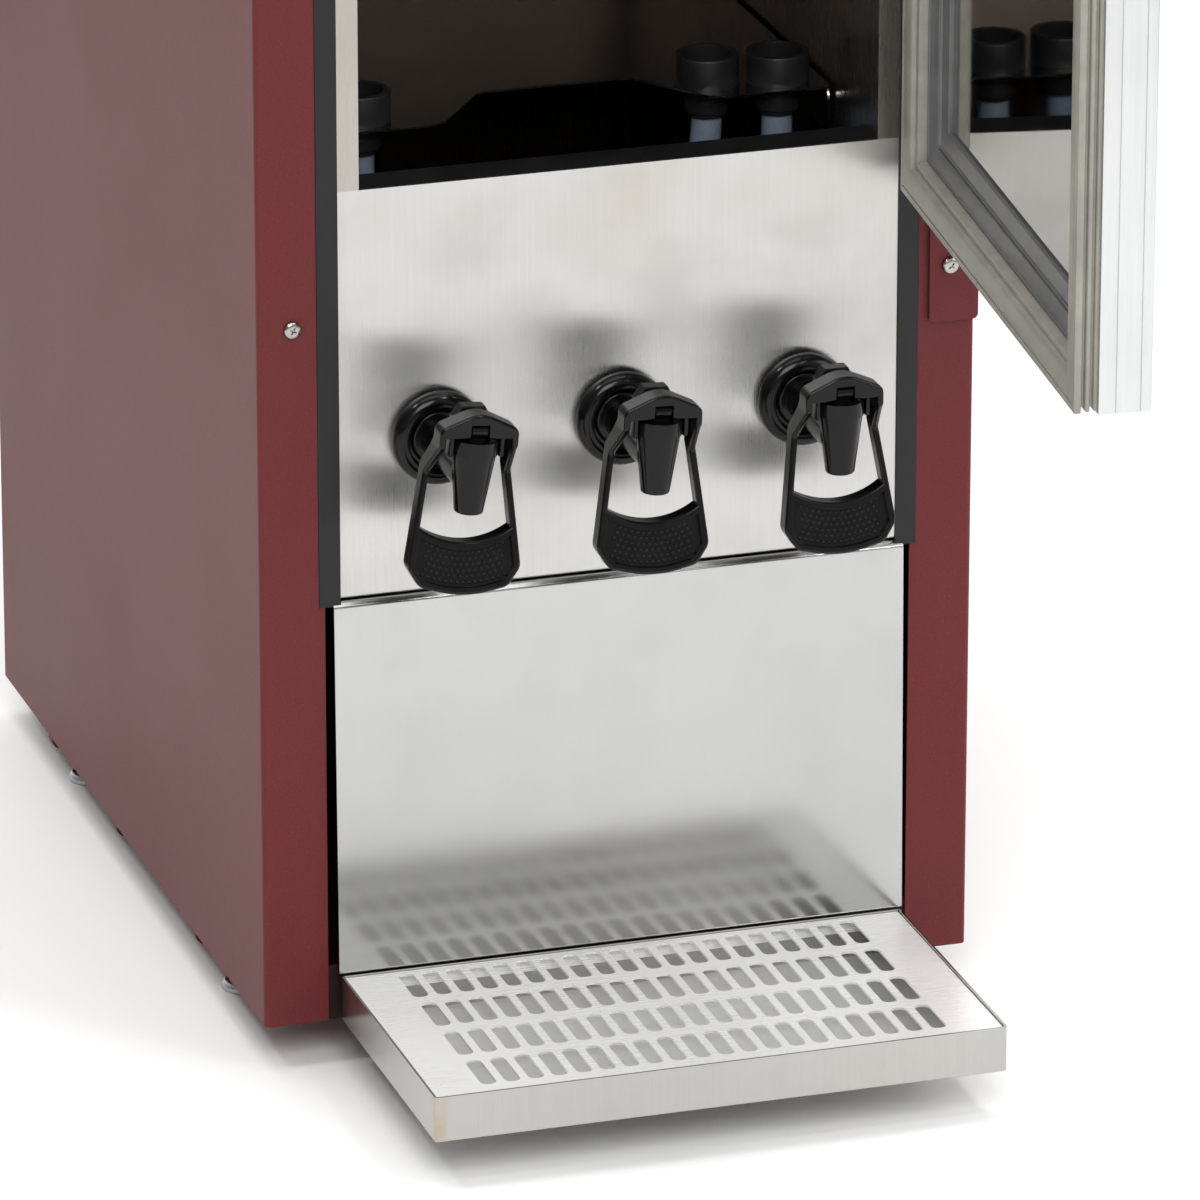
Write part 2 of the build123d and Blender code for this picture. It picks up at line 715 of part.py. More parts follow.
# Levelling feet: zinc glide, hexagon and threaded stem in one
for place, x, y in foot_places:
    with BuildPart() as foot:
        rod_z(x, y, 0, glide_height, glide_diameter)
        fillet(foot.edges().filter_by(GeomType.CIRCLE).sort_by(Axis.Z)[-1], glide_height * 0.7)
        fillet(foot.edges().filter_by(GeomType.CIRCLE).sort_by(Axis.Z)[0], glide_edge)
        with BuildSketch(Plane.XY.offset(glide_height)):
            with Locations((x, y)):
                RegularPolygon(foot_hex / 2, 6, major_radius=False)
        extrude(amount=foot_hex_height)
        rod_z(x, y, glide_height, foot_stem_top, foot_stem_diameter)
        chamfer(foot.edges().filter_by(GeomType.CIRCLE).sort_by(Axis.Z)[-1], foot_stem_chamfer)
    save(foot.part, f"foot_{place}")

# Door, built in its own plane: x from the hinge to the free edge, y out of the closed door
door_heading = radians(180 + door_open_angle)
door_plane = Plane((pivot_x, pivot_y, 0), x_dir=(cos(door_heading), sin(door_heading), 0),
                   z_dir=(0, 0, 1))
door_outward = Axis((pivot_x, pivot_y, 0), door_plane.y_dir)
door_back = gasket_gap + strip_proud + gasket_thickness - pivot_stand_off
door_face = door_back + frame_depth


def door_slab(inset, y_low, y_high, mode=Mode.ADD):
    """Slab of the door's outline, drawn in by an inset, inside a block on the door's plane."""
    reach = opening_half + door_overlap_side - inset
    slab(pivot_x - reach, pivot_x + reach, y_low, y_high, door_bottom_z + inset,
         door_top_z - inset, mode)


outer_pocket = frame_face + pane_step
lip_inset = outer_pocket + outer_lip_overlap
inner_pane_back = door_back + inner_pane_depth
inner_pane_front = inner_pane_back + pane_thickness
outer_pane_front = door_face - frame_lip
pin_hole = hinge_pin_diameter + 2 * running_clearance
pin_hole_depth = hinge_pin_length + 2

with BuildPart(door_plane) as door_frame:
    door_slab(0, door_back, door_face)
    fillet(door_frame.faces().sort_by(door_outward)[-1].edges(), frame_corner)
    door_slab(frame_face, door_back - sheet, inner_pane_front, Mode.SUBTRACT)
    door_slab(outer_pocket, inner_pane_front - sheet, outer_pane_front, Mode.SUBTRACT)
    door_slab(lip_inset, outer_pane_front - sheet, door_face + sheet, Mode.SUBTRACT)
    rod_z(0, 0, door_bottom_z - sheet, door_bottom_z + pin_hole_depth, pin_hole, Mode.SUBTRACT)
    rod_z(0, 0, door_top_z - pin_hole_depth, door_top_z + sheet, pin_hole, Mode.SUBTRACT)
save(door_frame.part, "door_frame")

with BuildPart(door_plane) as door_inner_pane:
    door_slab(frame_face + pane_clearance, inner_pane_back, inner_pane_front)
save(door_inner_pane.part, "door_inner_pane")

with BuildPart(door_plane) as door_outer_pane:
    door_slab(outer_pocket + pane_clearance, outer_pane_front - pane_thickness, outer_pane_front)
save(door_outer_pane.part, "door_outer_pane")

gasket_inner = gasket_inset + gasket_width
with BuildPart(door_plane) as door_gasket:
    door_slab(gasket_inset, door_back - gasket_thickness, door_back)
    door_slab(gasket_inner, door_back - 2 * gasket_thickness, door_back + sheet, Mode.SUBTRACT)
    fillet(door_gasket.faces().sort_by(door_outward)[0].edges(), gasket_corner)
save(door_gasket.part, "door_gasket")

liner_frame_end = frame_face + liner_frame_inner
with BuildPart(door_plane) as door_liner_frame:
    door_slab(gasket_inner + pane_clearance, door_back - liner_frame_rise, door_back)
    door_slab(frame_face + pane_clearance, door_back, inner_pane_back)
    door_slab(liner_frame_end, door_back - 2 * liner_frame_rise, inner_pane_front, Mode.SUBTRACT)
    chamfer(door_liner_frame.faces().sort_by(door_outward)[0].edges(), liner_frame_bevel)
save(door_liner_frame.part, "door_liner_frame")


def hinge_plate(leaf_low, leaf_high, plate_low, plate_high, pin_low, pin_high):
    """Bent plate: upright part on the flange, level leaf and pin."""
    with BuildPart() as plate:
        x_high = half_width + hinge_overhang
        slab(x_high - hinge_plate_width, x_high, -hinge_sheet, 0, plate_low, plate_high)
        rounded = plate.edges().filter_by(Axis.Y).group_by(Axis.Z)[0 if plate_low < leaf_low else -1]
        fillet(rounded, hinge_corner)
        slab(x_high - hinge_leaf_width, x_high, -hinge_leaf_depth, 0, leaf_low, leaf_high)
        leaf_corners = plate.edges().filter_by(Axis.Z).sort_by(Axis.Y)[:2]
        fillet(leaf_corners, hinge_corner)
        rod_z(pivot_x, pivot_y, pin_low, pin_high, hinge_pin_diameter)
        rod_y(half_width - plate_screw_inset,
              flange_screw_z if plate_low < leaf_low else upper_screw_z,
              -2 * hinge_sheet, hinge_sheet, screw_hole, Mode.SUBTRACT)
    return plate.part


# Hinge plates screwed to the right flange, each with a leaf and the door's pin
save(hinge_plate(lower_leaf_top - hinge_leaf, lower_leaf_top,
                 lower_leaf_top - hinge_plate_height, lower_leaf_top,
                 lower_leaf_top, door_bottom_z + hinge_pin_length), "hinge_plate_lower")
save(hinge_plate(upper_leaf_bottom, upper_leaf_bottom + hinge_leaf, upper_leaf_bottom, shell_top,
                 door_top_z - hinge_pin_length, upper_leaf_bottom), "hinge_plate_upper")

with BuildPart(door_plane) as hinge_bushes:
    for low in (lower_leaf_top, door_top_z):
        rod_z(0, 0, low, low + bush_height, bush_diameter)
        rod_z(0, 0, low - sheet, low + bush_height + sheet, pin_hole, Mode.SUBTRACT)
save(hinge_bushes.part, "hinge_bushes")

# Pan-head screws in the flanges, hinge plates and rear cover
with BuildPart() as case_screws:
    for x, z, seat in flange_screws:
        rod_y(x, z, -seat - screw_head_height, -seat, screw_head_diameter)
        rod_y(x, z, -seat, sheet, screw_shank_diameter)
    for x, z in rear_screws:
        rod_y(x, z, cabinet_depth, cabinet_depth + screw_head_height, screw_head_diameter)
        rod_y(x, z, shell_rear - sheet, cabinet_depth, screw_shank_diameter)
    heads = case_screws.edges().filter_by(GeomType.CIRCLE)
    heads = heads.filter_by(lambda e: abs(e.radius - screw_head_diameter / 2) < 0.01)
    fillet(heads.group_by(Axis.Y)[0] + heads.group_by(Axis.Y)[-1], screw_head_height * 0.4)
save(case_screws.part, "case_screws")

# Taps: collar, body with spout, lever with paddle, valve stem
pin_y = -spout_reach - lever_pivot_forward
pin_z = tap_z + lever_pivot_up
ring_top_z = tap_z + spout_ring_top
ring_bottom_z = ring_top_z - spout_ring_height
mouth_z = tap_z - spout_drop
bonnet_y = -spout_reach + bonnet_set_back
bonnet_top_z = ring_top_z + bonnet_height
stem_hole = stem_diameter + 2 * running_clearance


def tap_collar(x):
    """Domed ring with a sunk cup round the shank."""
    axis = Axis((x, 0, tap_z), (0, 1, 0))
    with BuildPart() as collar:
        with BuildSketch(Plane((x, 0, tap_z), x_dir=(1, 0, 0), z_dir=(0, 0, 1))):
            with BuildLine():
                bore, cup, rim = (shank_diameter / 2 + shank_clearance, collar_cup_diameter / 2,
                                  collar_diameter / 2)
                FilletPolyline((bore, 0), (rim, 0), (rim, -collar_depth), (cup, -collar_depth),
                               (cup, -collar_depth + collar_cup_depth),
                               (bore, -collar_depth + collar_cup_depth), (bore, 0),
                               radius=[0, collar_rear_round, collar_round, collar_lip_round,
                                      collar_lip_round - collar_edge, collar_edge])
            make_face()
        revolve(axis=axis)
    return collar.part


def tap_body(x):
    """Shank, barrel on its rib, tapering spout with its ring, bonnet, lug for the lever's pin."""
    upright = Axis((x, -spout_reach, 0), (0, 0, 1))
    with BuildPart() as body:
        rod_y(x, tap_z, -barrel_shoulder, shank_length, shank_diameter)
        rod_y(x, tap_z, -barrel_shoulder - shoulder_thickness, -barrel_shoulder, shoulder_diameter)
        fillet(body.edges().filter_by(GeomType.CIRCLE).sort_by(Axis.Y)[0], shoulder_thickness / 2)
        rod_y(x, tap_z, -spout_reach, -barrel_shoulder, barrel_diameter)
        with BuildSketch(Plane((x, -spout_reach, 0), x_dir=(1, 0, 0), z_dir=(0, -1, 0))):
            with BuildLine():
                top, mouth = spout_top_diameter / 2, spout_bottom_diameter / 2
                Polyline((0, mouth_z), (mouth, mouth_z), (top - ring_step, ring_bottom_z),
                         (top, ring_bottom_z), (top, ring_top_z), (0, ring_top_z), close=True)
            make_face()
        revolve(axis=upright)
        fillet(body.edges().filter_by(GeomType.CIRCLE).group_by(Axis.Z)[0], mouth_round)
        with BuildSketch(Plane((x, 0, 0), x_dir=(0, 1, 0), z_dir=(1, 0, 0))):
            with BuildLine():
                Polyline((-spout_reach, tap_z), (-spout_reach, mouth_z + rib_above_mouth),
                         (-spout_reach + rib_reach, tap_z - barrel_diameter / 2 + ring_step),
                         (-spout_reach + rib_reach, tap_z), close=True)
            make_face()
        extrude(amount=rib_thickness / 2, both=True)
        slab(x - bonnet_width / 2, x + bonnet_width / 2, bonnet_y - bonnet_depth / 2,
             bonnet_y + bonnet_depth / 2, tap_z, bonnet_top_z - bonnet_bevel_height)
        with BuildSketch(Plane((x, bonnet_y, bonnet_top_z - bonnet_bevel_height))):
            Rectangle(bonnet_width, bonnet_depth)
        with BuildSketch(Plane((x, bonnet_y, bonnet_top_z))):
            Rectangle(bonnet_top_width, bonnet_top_depth)
        loft()
        slab(x - lug_width / 2, x + lug_width / 2, pin_y, bonnet_y, ring_top_z - sheet,
             pin_z + lug_radius)
        with Locations(Plane((x, pin_y, pin_z), x_dir=(0, 1, 0), z_dir=(1, 0, 0))):
            Cylinder(lug_radius, lug_width)
            Cylinder(lever_pin_diameter / 2 + running_clearance, 2 * lug_width, mode=Mode.SUBTRACT)
        rod_y(x, tap_z, -spout_reach, shank_length + sheet, flow_diameter, Mode.SUBTRACT)
        rod_z(x, -spout_reach, mouth_z - sheet, ring_bottom_z, flow_diameter, Mode.SUBTRACT)
        rod_z(x, -spout_reach, ring_bottom_z, ring_top_z + stem_bore_height, stem_hole, Mode.SUBTRACT)
    return body.part


def lever_outline():
    """Outline of the lever: gabled crown, drawn-in neck, wide rounded paddle."""
    shoulder = (apex_run, crown_apex - apex_fall)
    bottom = (bottom_run, bottom_rise)
    with BuildLine() as outline:
        TangentArc((0, crown_apex), shoulder, tangent=(1, 0))
        FilletPolyline(shoulder, (crown_half_width, crown_shoulder), (crown_half_width, crown_foot),
                       (neck_half_width, neck_height), (heel_half_width, heel_height),
                       (heel_half_width - heel_tuck, heel_toe), bottom,
                       radius=[crown_corner, crown_corner, crown_corner, heel_corner, heel_corner])
        TangentArc((0, 0), bottom, tangent=(1, 0))
        mirror(about=Plane.YZ)
    return outline.edges()


def paddle_top(rise=0.0):
    """Region under the paddle's hollow upper edge."""
    with BuildLine() as region:
        ThreePointArc((-paddle_reach, paddle_end_height + rise), (0, paddle_mid_height + rise),
                      (paddle_reach, paddle_end_height + rise))
        Polyline((paddle_reach, paddle_end_height + rise), (paddle_reach, -lever_band),
                 (-paddle_reach, -lever_band), (-paddle_reach, paddle_end_height + rise))
    return region.edges()


lever_low_z = tap_z - lever_drop
crown_low_z = ring_top_z + crown_gap
crown_front_y = pin_y - crown_front
crown_rear_y = crown_front_y + crown_thickness
paddle_front_y = crown_rear_y + joggle_depth - lever_thickness
lever_top_z = lever_low_z + crown_apex
joggle_top_z = lever_low_z + joggle_rise
joggle_low_z = joggle_top_z - joggle_height
crown_low = crown_low_z - lever_low_z
lever_reach = crown_thickness + 2 * joggle_depth


def lever_plane(x):
    """Sketch plane behind the lever: sketch y counts up from the lever's lowest point."""
    return Plane((x, paddle_front_y + lever_reach, lever_low_z), x_dir=(1, 0, 0), z_dir=(0, -1, 0))


def side_plane(x):
    """Upright plane across the lever: sketch x to the back, sketch y up."""
    return Plane((x, 0, 0), x_dir=(0, 1, 0), z_dir=(1, 0, 0))


def leaning(y, z):
    """Depth at a height of an arm's face that passes the kink at a depth."""
    return y - (joggle_low_z - z) * tan(radians(lever_lean))


def lever_bow(x):
    """Crown, arms and paddle with rounded front edges."""
    low = lever_low_z - overcut
    rear = paddle_front_y + lever_thickness
    with BuildPart() as bow:
        with BuildSketch(lever_plane(x)):
            make_face(lever_outline())
            offset(amount=-lever_band, mode=Mode.SUBTRACT)
        extrude(amount=2 * lever_reach)
        with BuildSketch(lever_plane(x)):
            make_face(lever_outline())
            with Locations((0, span(crown_low, crown_apex))):
                Rectangle(4 * crown_half_width, crown_apex - crown_low, mode=Mode.INTERSECT)
        extrude(amount=2 * lever_reach)
        with BuildSketch(lever_plane(x)):
            make_face(lever_outline())
            make_face(paddle_top(), mode=Mode.INTERSECT)
        extrude(amount=2 * lever_reach)
        with BuildSketch(side_plane(x)):
            with BuildLine():
                FilletPolyline((crown_front_y, lever_top_z + overcut), (crown_front_y, joggle_top_z),
                               (paddle_front_y, joggle_low_z), (leaning(paddle_front_y, low), low),
                               (leaning(rear, low), low), (rear, joggle_low_z + joggle_skew),
                               (crown_rear_y, joggle_top_z + joggle_skew),
                               (crown_rear_y, lever_top_z + overcut), close=True,
                               radius=[0, joggle_round, joggle_round, 0, 0, joggle_round,
                                       joggle_round, 0])
            make_face()
        extrude(amount=2 * heel_half_width, both=True, mode=Mode.INTERSECT)
        front = bow.faces().filter_by(lambda face: face.normal_at().Y < -0.3)
        rim = [edge for edge in front.edges() if sum(edge in face.edges() for face in front) == 1]
        fillet(rim, lever_round)
    return bow.part


def pad_hollow(x):
    """Space in front of the sunk pad."""
    with BuildPart() as hollow:
        with BuildSketch(lever_plane(x)):
            make_face(lever_outline())
            offset(amount=-pad_rim, mode=Mode.REPLACE)
            make_face(paddle_top(-pad_rim), mode=Mode.INTERSECT)
        extrude(amount=2 * lever_reach)
        low, floor_y = lever_low_z - overcut, paddle_front_y + pad_sink
        with BuildSketch(side_plane(x)):
            with BuildLine():
                Polyline((floor_y, joggle_low_z), (leaning(floor_y, low), low),
                         (leaning(floor_y, low) - joggle_depth, low),
                         (floor_y - joggle_depth, joggle_low_z), close=True)
            make_face()
        extrude(amount=2 * heel_half_width, both=True, mode=Mode.INTERSECT)
    return hollow.part


def tap_lever(x):
    """Joggled loop lever: crown hinged on the lug, two arms, paddle with a sunk pad, ears."""
    with BuildPart() as lever:
        add(lever_bow(x))
        add(pad_hollow(x), mode=Mode.SUBTRACT)
        for _, sign in sides:
            near = x + sign * (spout_top_diameter / 2 + ear_gap)
            with BuildSketch(side_plane(near)):
                with BuildLine():
                    FilletPolyline((crown_rear_y, crown_low_z + ear_round),
                                   (crown_rear_y, crown_low_z - ear_drop),
                                   (crown_rear_y - ear_width, crown_low_z - ear_drop),
                                   (crown_rear_y - ear_width, crown_low_z + ear_round), close=True,
                                   radius=[0, ear_round, ear_round, 0])
                make_face()
            extrude(amount=sign * ear_thickness)
        slab(x - notch_width / 2, x + notch_width / 2, crown_front_y - overcut, crown_rear_y + overcut,
             crown_low_z - overcut, pin_z + notch_above_pin, Mode.SUBTRACT)
        with Locations(Plane((x, pin_y, pin_z), x_dir=(0, 1, 0), z_dir=(1, 0, 0))):
            Cylinder(lever_pin_diameter / 2, notch_width + 2 * overcut)
    return lever.part


def tap_stem(x):
    """Valve plug and its guided stem."""
    with BuildPart() as stem:
        plug_z = tap_z - plug_below_axis
        rod_z(x, -spout_reach, plug_z, plug_z + plug_height, plug_diameter)
        chamfer(stem.edges().filter_by(GeomType.CIRCLE), plug_chamfer)
        rod_z(x, -spout_reach, plug_z + plug_height, ring_top_z + stem_above_ring, stem_diameter)
    return stem.part


for (name, x), turn in zip(tap_places, tap_turns):
    shank = Axis((x, 0, tap_z), (0, 1, 0))
    save(tap_collar(x), f"tap_collar_{name}")
    save(tap_body(x).rotate(shank, turn), f"tap_body_{name}")
    save(tap_lever(x).rotate(shank, turn), f"tap_lever_{name}")
    save(tap_stem(x).rotate(shank, turn), f"tap_stem_{name}")

with BuildPart() as tap_locknuts:
    with BuildSketch(front_plane(chamber_front_wall)):
        with Locations(*[(x, tap_z) for _, x in tap_places]):
            RegularPolygon(locknut_across / 2, 6, major_radius=False)
            Circle(shank_diameter / 2 + running_clearance, mode=Mode.SUBTRACT)
    extrude(amount=-locknut_height)
save(tap_locknuts.part, "tap_locknuts")

# Container rack: sheet shelf with a bay at the front, skirts and four legs at the sides
rack_half = opening_half - rack_side_gap
rack_rear = chamber_back - rack_rear_gap
rack_top = rack_z + rack_sheet
neck_hole = connector_neck_diameter + 2 * connector_neck_clearance
connector_places = [(name, sign * (rack_half - inset), rack_front + setback)
                    for name, sign, inset, setback in connector_seats]
with BuildPart() as container_rack:
    with BuildSketch(Plane.XY.offset(rack_z)):
        with BuildLine():
            tab = rack_half - rack_tab_width
            bay = rack_front + rack_bay_depth
            right = FilletPolyline((0, bay), (rack_bay_half_width, bay),
                                   (tab - rack_ramp, rack_front + rack_bay_step),
                                   (tab, rack_front), (rack_half, rack_front), (rack_half, rack_rear),
                                   (0, rack_rear), radius=[rack_bay_round, rack_ramp_round,
                                                           rack_tab_round, rack_corner, rack_corner])
            mirror(right, about=Plane.YZ)
        make_face()
        with Locations(*[(x, y) for _, x, y in connector_places]):
            Circle(neck_hole / 2, mode=Mode.SUBTRACT)
    extrude(amount=rack_sheet)
    for _, sign in sides:
        with BuildSketch(Plane((sign * rack_half, 0, 0), x_dir=(0, 1, 0), z_dir=(1, 0, 0))):
            low = rack_z - rack_skirt
            with BuildLine():
                FilletPolyline((rack_front + rack_corner, rack_z + rack_sheet / 2),
                               (rack_front + rack_corner, low), (rack_rear - rack_corner, low),
                               (rack_rear - rack_corner, rack_z + rack_sheet / 2), close=True,
                               radius=[rack_skirt_corner, rack_skirt_corner, rack_fold_round,
                                       rack_fold_round])
            make_face()
            for y in (rack_front + rack_leg_setback, rack_rear - rack_corner - rack_leg_width):
                with Locations((y + rack_leg_width / 2, span(chamber_floor_z, rack_z - rack_skirt / 2))):
                    Rectangle(rack_leg_width, rack_z - rack_skirt / 2 - chamber_floor_z)
        extrude(amount=-sign * rack_sheet)
save(container_rack.part, "container_rack")


def connector(x, y):
    """Quick connector: neck through the rack, seal ring, open socket with a central bore."""
    neck, cup, socket = connector_neck_diameter / 2, connector_cup_diameter / 2, socket_diameter / 2
    ring, bore = connector_ring_diameter / 2, connector_bore / 2
    low, top = rack_z - connector_neck_drop, rack_top + connector_cup_height
    ring_low = low + connector_ring_height / 2
    ring_high = ring_low + connector_ring_height
    with BuildPart() as body:
        with BuildSketch(Plane((x, y, 0), x_dir=(1, 0, 0), z_dir=(0, -1, 0))):
            with BuildLine():
                Polyline((bore, low), (neck, low), (neck, ring_low), (ring, ring_low),
                         (ring, ring_high), (neck, ring_high), (neck, rack_top), (cup, rack_top),
                         (cup, top), (socket, top), (socket, top - socket_depth),
                         (bore, top - socket_depth), close=True)
            make_face()
        revolve(axis=Axis((x, y, 0), (0, 0, 1)))
        rims = body.edges().filter_by(GeomType.CIRCLE).group_by(Axis.Z)
        fillet(rims[0].sort_by(SortBy.LENGTH)[-1], connector_edge)
        fillet(rims[-1].sort_by(SortBy.LENGTH)[-1], connector_edge)
    return body.part


def bend_radii(points):
    """Bend radius at each corner of a route, as large as its two runs allow."""
    spots = [Vector(*p) for p in points]
    radii = []
    for before, here, after in zip(spots, spots[1:], spots[2:]):
        turn = radians((here - before).get_angle(after - here))
        shorter = min((here - before).length, (after - here).length)
        radii.append(bend_share * shorter / tan(turn / 2))
    return radii


def tube_along(points, diameter, bore=0.0):
    """Round tube swept along straight runs joined by arcs."""
    with BuildPart() as tube:
        with BuildLine() as route:
            FilletPolyline(*points, radius=bend_radii(points))
        path = route.wire()
        with BuildSketch(Plane(path @ 0, z_dir=path % 0)):
            Circle(diameter / 2)
            if bore:
                Circle(bore / 2, mode=Mode.SUBTRACT)
        sweep(path=path)
    return tube.part


for (name, x, y), (_, tap_x) in zip(connector_places, tap_places):
    save(connector(x, y), f"connector_{name}")
    bottom = rack_z - connector_neck_drop
    drop = bottom - tap_z
    bends = [(x + across * (tap_x - x), y + back, bottom - down * drop) for across, down, back in tube_bends]
    route = [(x, y, bottom), (x, y, bottom - tube_first_drop * drop), *bends,
             (tap_x, span(y, shank_length) + tube_last_run, tap_z), (tap_x, shank_length, tap_z)]
    save(tube_along(route, tube_diameter, tube_bore), f"tube_{name}")

# Evaporator plate on stand-offs from the chamber's back wall
evaporator_y = chamber_back - evaporator_gap
evaporator_low = chamber_floor_z + evaporator_rise
evaporator_width = 2 * (opening_half - evaporator_side_gap)
evaporator_height = opening_top_z - evaporator_top_gap - evaporator_low
channel_half = evaporator_width / 2 - channel_inset
with BuildPart() as evaporator:
    slab(-evaporator_width / 2, evaporator_width / 2, evaporator_y - evaporator_sheet, evaporator_y,
         evaporator_low, evaporator_low + evaporator_height)
    for row in range(evaporator_channels):
        z = evaporator_low + (row + 1) * evaporator_height / (evaporator_channels + 1)
        slab(-channel_half, channel_half,
             evaporator_y - evaporator_sheet - channel_rise, evaporator_y - evaporator_sheet,
             z - channel_width / 2, z + channel_width / 2)
    for _, sign in sides:
        for z in (evaporator_low + evaporator_post_inset,
                  evaporator_low + evaporator_height - evaporator_post_inset):
            rod_y(sign * channel_half, z, evaporator_y, chamber_back, evaporator_post)
save(evaporator.part, "evaporator")

# Compressor on rubber grommets
grommet_top = pan_floor_z + grommet_height
plate_top = grommet_top + compressor_plate
can_top = plate_top + compressor_height
stub_y = compressor_y + compressor_diameter / 2 + stub_length
discharge_x = compressor_x - discharge_shift
discharge_z = plate_top + discharge_rise
suction_z = plate_top + suction_rise
seam_z = plate_top + seam_rise
with BuildPart() as compressor:
    rod_z(compressor_x, compressor_y, plate_top, can_top, compressor_diameter)
    rims = compressor.edges().filter_by(GeomType.CIRCLE).sort_by(Axis.Z)
    fillet(rims[-1], compressor_dome)
    fillet(compressor.edges().filter_by(GeomType.CIRCLE).sort_by(Axis.Z)[0], compressor_dome / 3)
    rod_z(compressor_x, compressor_y, seam_z, seam_z + seam_height, compressor_diameter + 2 * seam_depth)
    with Locations((compressor_x, compressor_y, span(grommet_top, plate_top))):
        Box(*compressor_plate_size, compressor_plate)
    for x, z in ((discharge_x, discharge_z), (suction_line_x, suction_z)):
        rod_y(x, z, compressor_y, stub_y, line_diameter + 2 * stub_wall)
save(compressor.part, "compressor")

with BuildPart() as compressor_grommets:
    with Locations((compressor_x, compressor_y, span(pan_floor_z, grommet_top))):
        with GridLocations(compressor_plate_size[0] - grommet_diameter,
                           compressor_plate_size[1] - grommet_diameter, 2, 2):
            Cylinder(grommet_diameter / 2, grommet_height)
save(compressor_grommets.part, "compressor_grommets")

# Condenser block behind its fan
condenser_left = condenser_x - condenser_width / 2
condenser_right = condenser_x + condenser_width / 2
condenser_back = condenser_y + condenser_depth
with BuildPart() as condenser:
    slab(condenser_left, condenser_right, condenser_y, condenser_back, pan_floor_z,
         pan_floor_z + condenser_height)
    fin_depth = (condenser_depth - line_diameter) / 2
    for depth, amount in ((condenser_y, -fin_depth), (condenser_back, fin_depth)):
        with BuildSketch(front_plane(depth)):
            with Locations((condenser_x, condenser_mid_z)):
                with GridLocations(condenser_width / condenser_fins, 0, condenser_fins - 1, 1):
                    Rectangle(fin_gap, condenser_height - fin_end)
        extrude(amount=amount, mode=Mode.SUBTRACT)
save(condenser.part, "condenser")

# Condenser fan: plate with a ring and a motor on four struts, blade wheel on the motor's shaft
fan_y = condenser_y - fan_plate
ring_front = condenser_y - fan_ring_depth
motor_back = ring_front - fan_strut
motor_front = motor_back - fan_motor_depth
fan_z = condenser_mid_z
with BuildPart() as fan_frame:
    slab(condenser_left, condenser_right, fan_y, condenser_y, pan_floor_z,
         pan_floor_z + condenser_height)
    rod_y(condenser_x, fan_z, ring_front, condenser_y, fan_bore + 2 * fan_ring_wall)
    rod_y(condenser_x, fan_z, ring_front - sheet, condenser_y + sheet, fan_bore, Mode.SUBTRACT)
    with BuildSketch(front_plane(ring_front)):
        with Locations((condenser_x, fan_z)):
            Rectangle(fan_bore + fan_ring_wall, fan_strut, rotation=45)
            Rectangle(fan_bore + fan_ring_wall, fan_strut, rotation=-45)
    extrude(amount=fan_strut)
    rod_y(condenser_x, fan_z, motor_front, motor_back, fan_motor_diameter)
    rod_y(condenser_x, fan_z, motor_back, condenser_y - 2 * sheet, fan_shaft_diameter)
save(fan_frame.part, "fan_frame")

hub_front = ring_front + fan_hub_gap
with BuildPart(Plane((condenser_x, hub_front + fan_hub_depth / 2, fan_z), x_dir=(1, 0, 0),
                     z_dir=(0, 1, 0))) as fan_blades_wheel:
    tip = fan_bore / 2 - fan_tip_gap
    root = fan_hub_diameter / 2 - blade_root_depth
    with PolarLocations(span(root, tip), fan_blades):
        Box(tip - root, fan_blade_chord, fan_blade_thickness, rotation=(fan_blade_pitch, 0, 0))
    Cylinder(tip, 2 * fan_hub_depth, mode=Mode.INTERSECT)
    Cylinder(fan_hub_diameter / 2, fan_hub_depth - fan_hub_gap)
    Cylinder(fan_shaft_diameter / 2 + running_clearance, 2 * fan_hub_depth, mode=Mode.SUBTRACT)
save(fan_blades_wheel.part, "fan_blades")

# Copper lines: discharge to the condenser, liquid line to the evaporator, suction line back
line_y = condenser_y + condenser_depth / 2
rear_run_y = condenser_back + line_diameter
condenser_top_port = pan_floor_z + condenser_height - port_inset
condenser_low_port = pan_floor_z + port_inset
routes = [
    [(discharge_x, stub_y, discharge_z), (discharge_x, line_y - line_turn, discharge_z),
     (liquid_line_x - line_sweep, line_y, condenser_top_port),
     (condenser_left, line_y, condenser_top_port)],
    [(condenser_left, line_y, condenser_low_port), (liquid_line_x, line_y, condenser_low_port),
     (liquid_line_x, rear_run_y, condenser_low_port + line_lift), (liquid_line_x, rear_run_y, line_z),
     (liquid_line_x, evaporator_y, line_z)],
    [(suction_line_x, evaporator_y, line_z), (suction_line_x, rear_run_y, line_z),
     (suction_line_x, rear_run_y, suction_z), (suction_line_x, stub_y, suction_z)],
]
save(Compound([tube_along(points, line_diameter) for points in routes]), "refrigerant_lines")

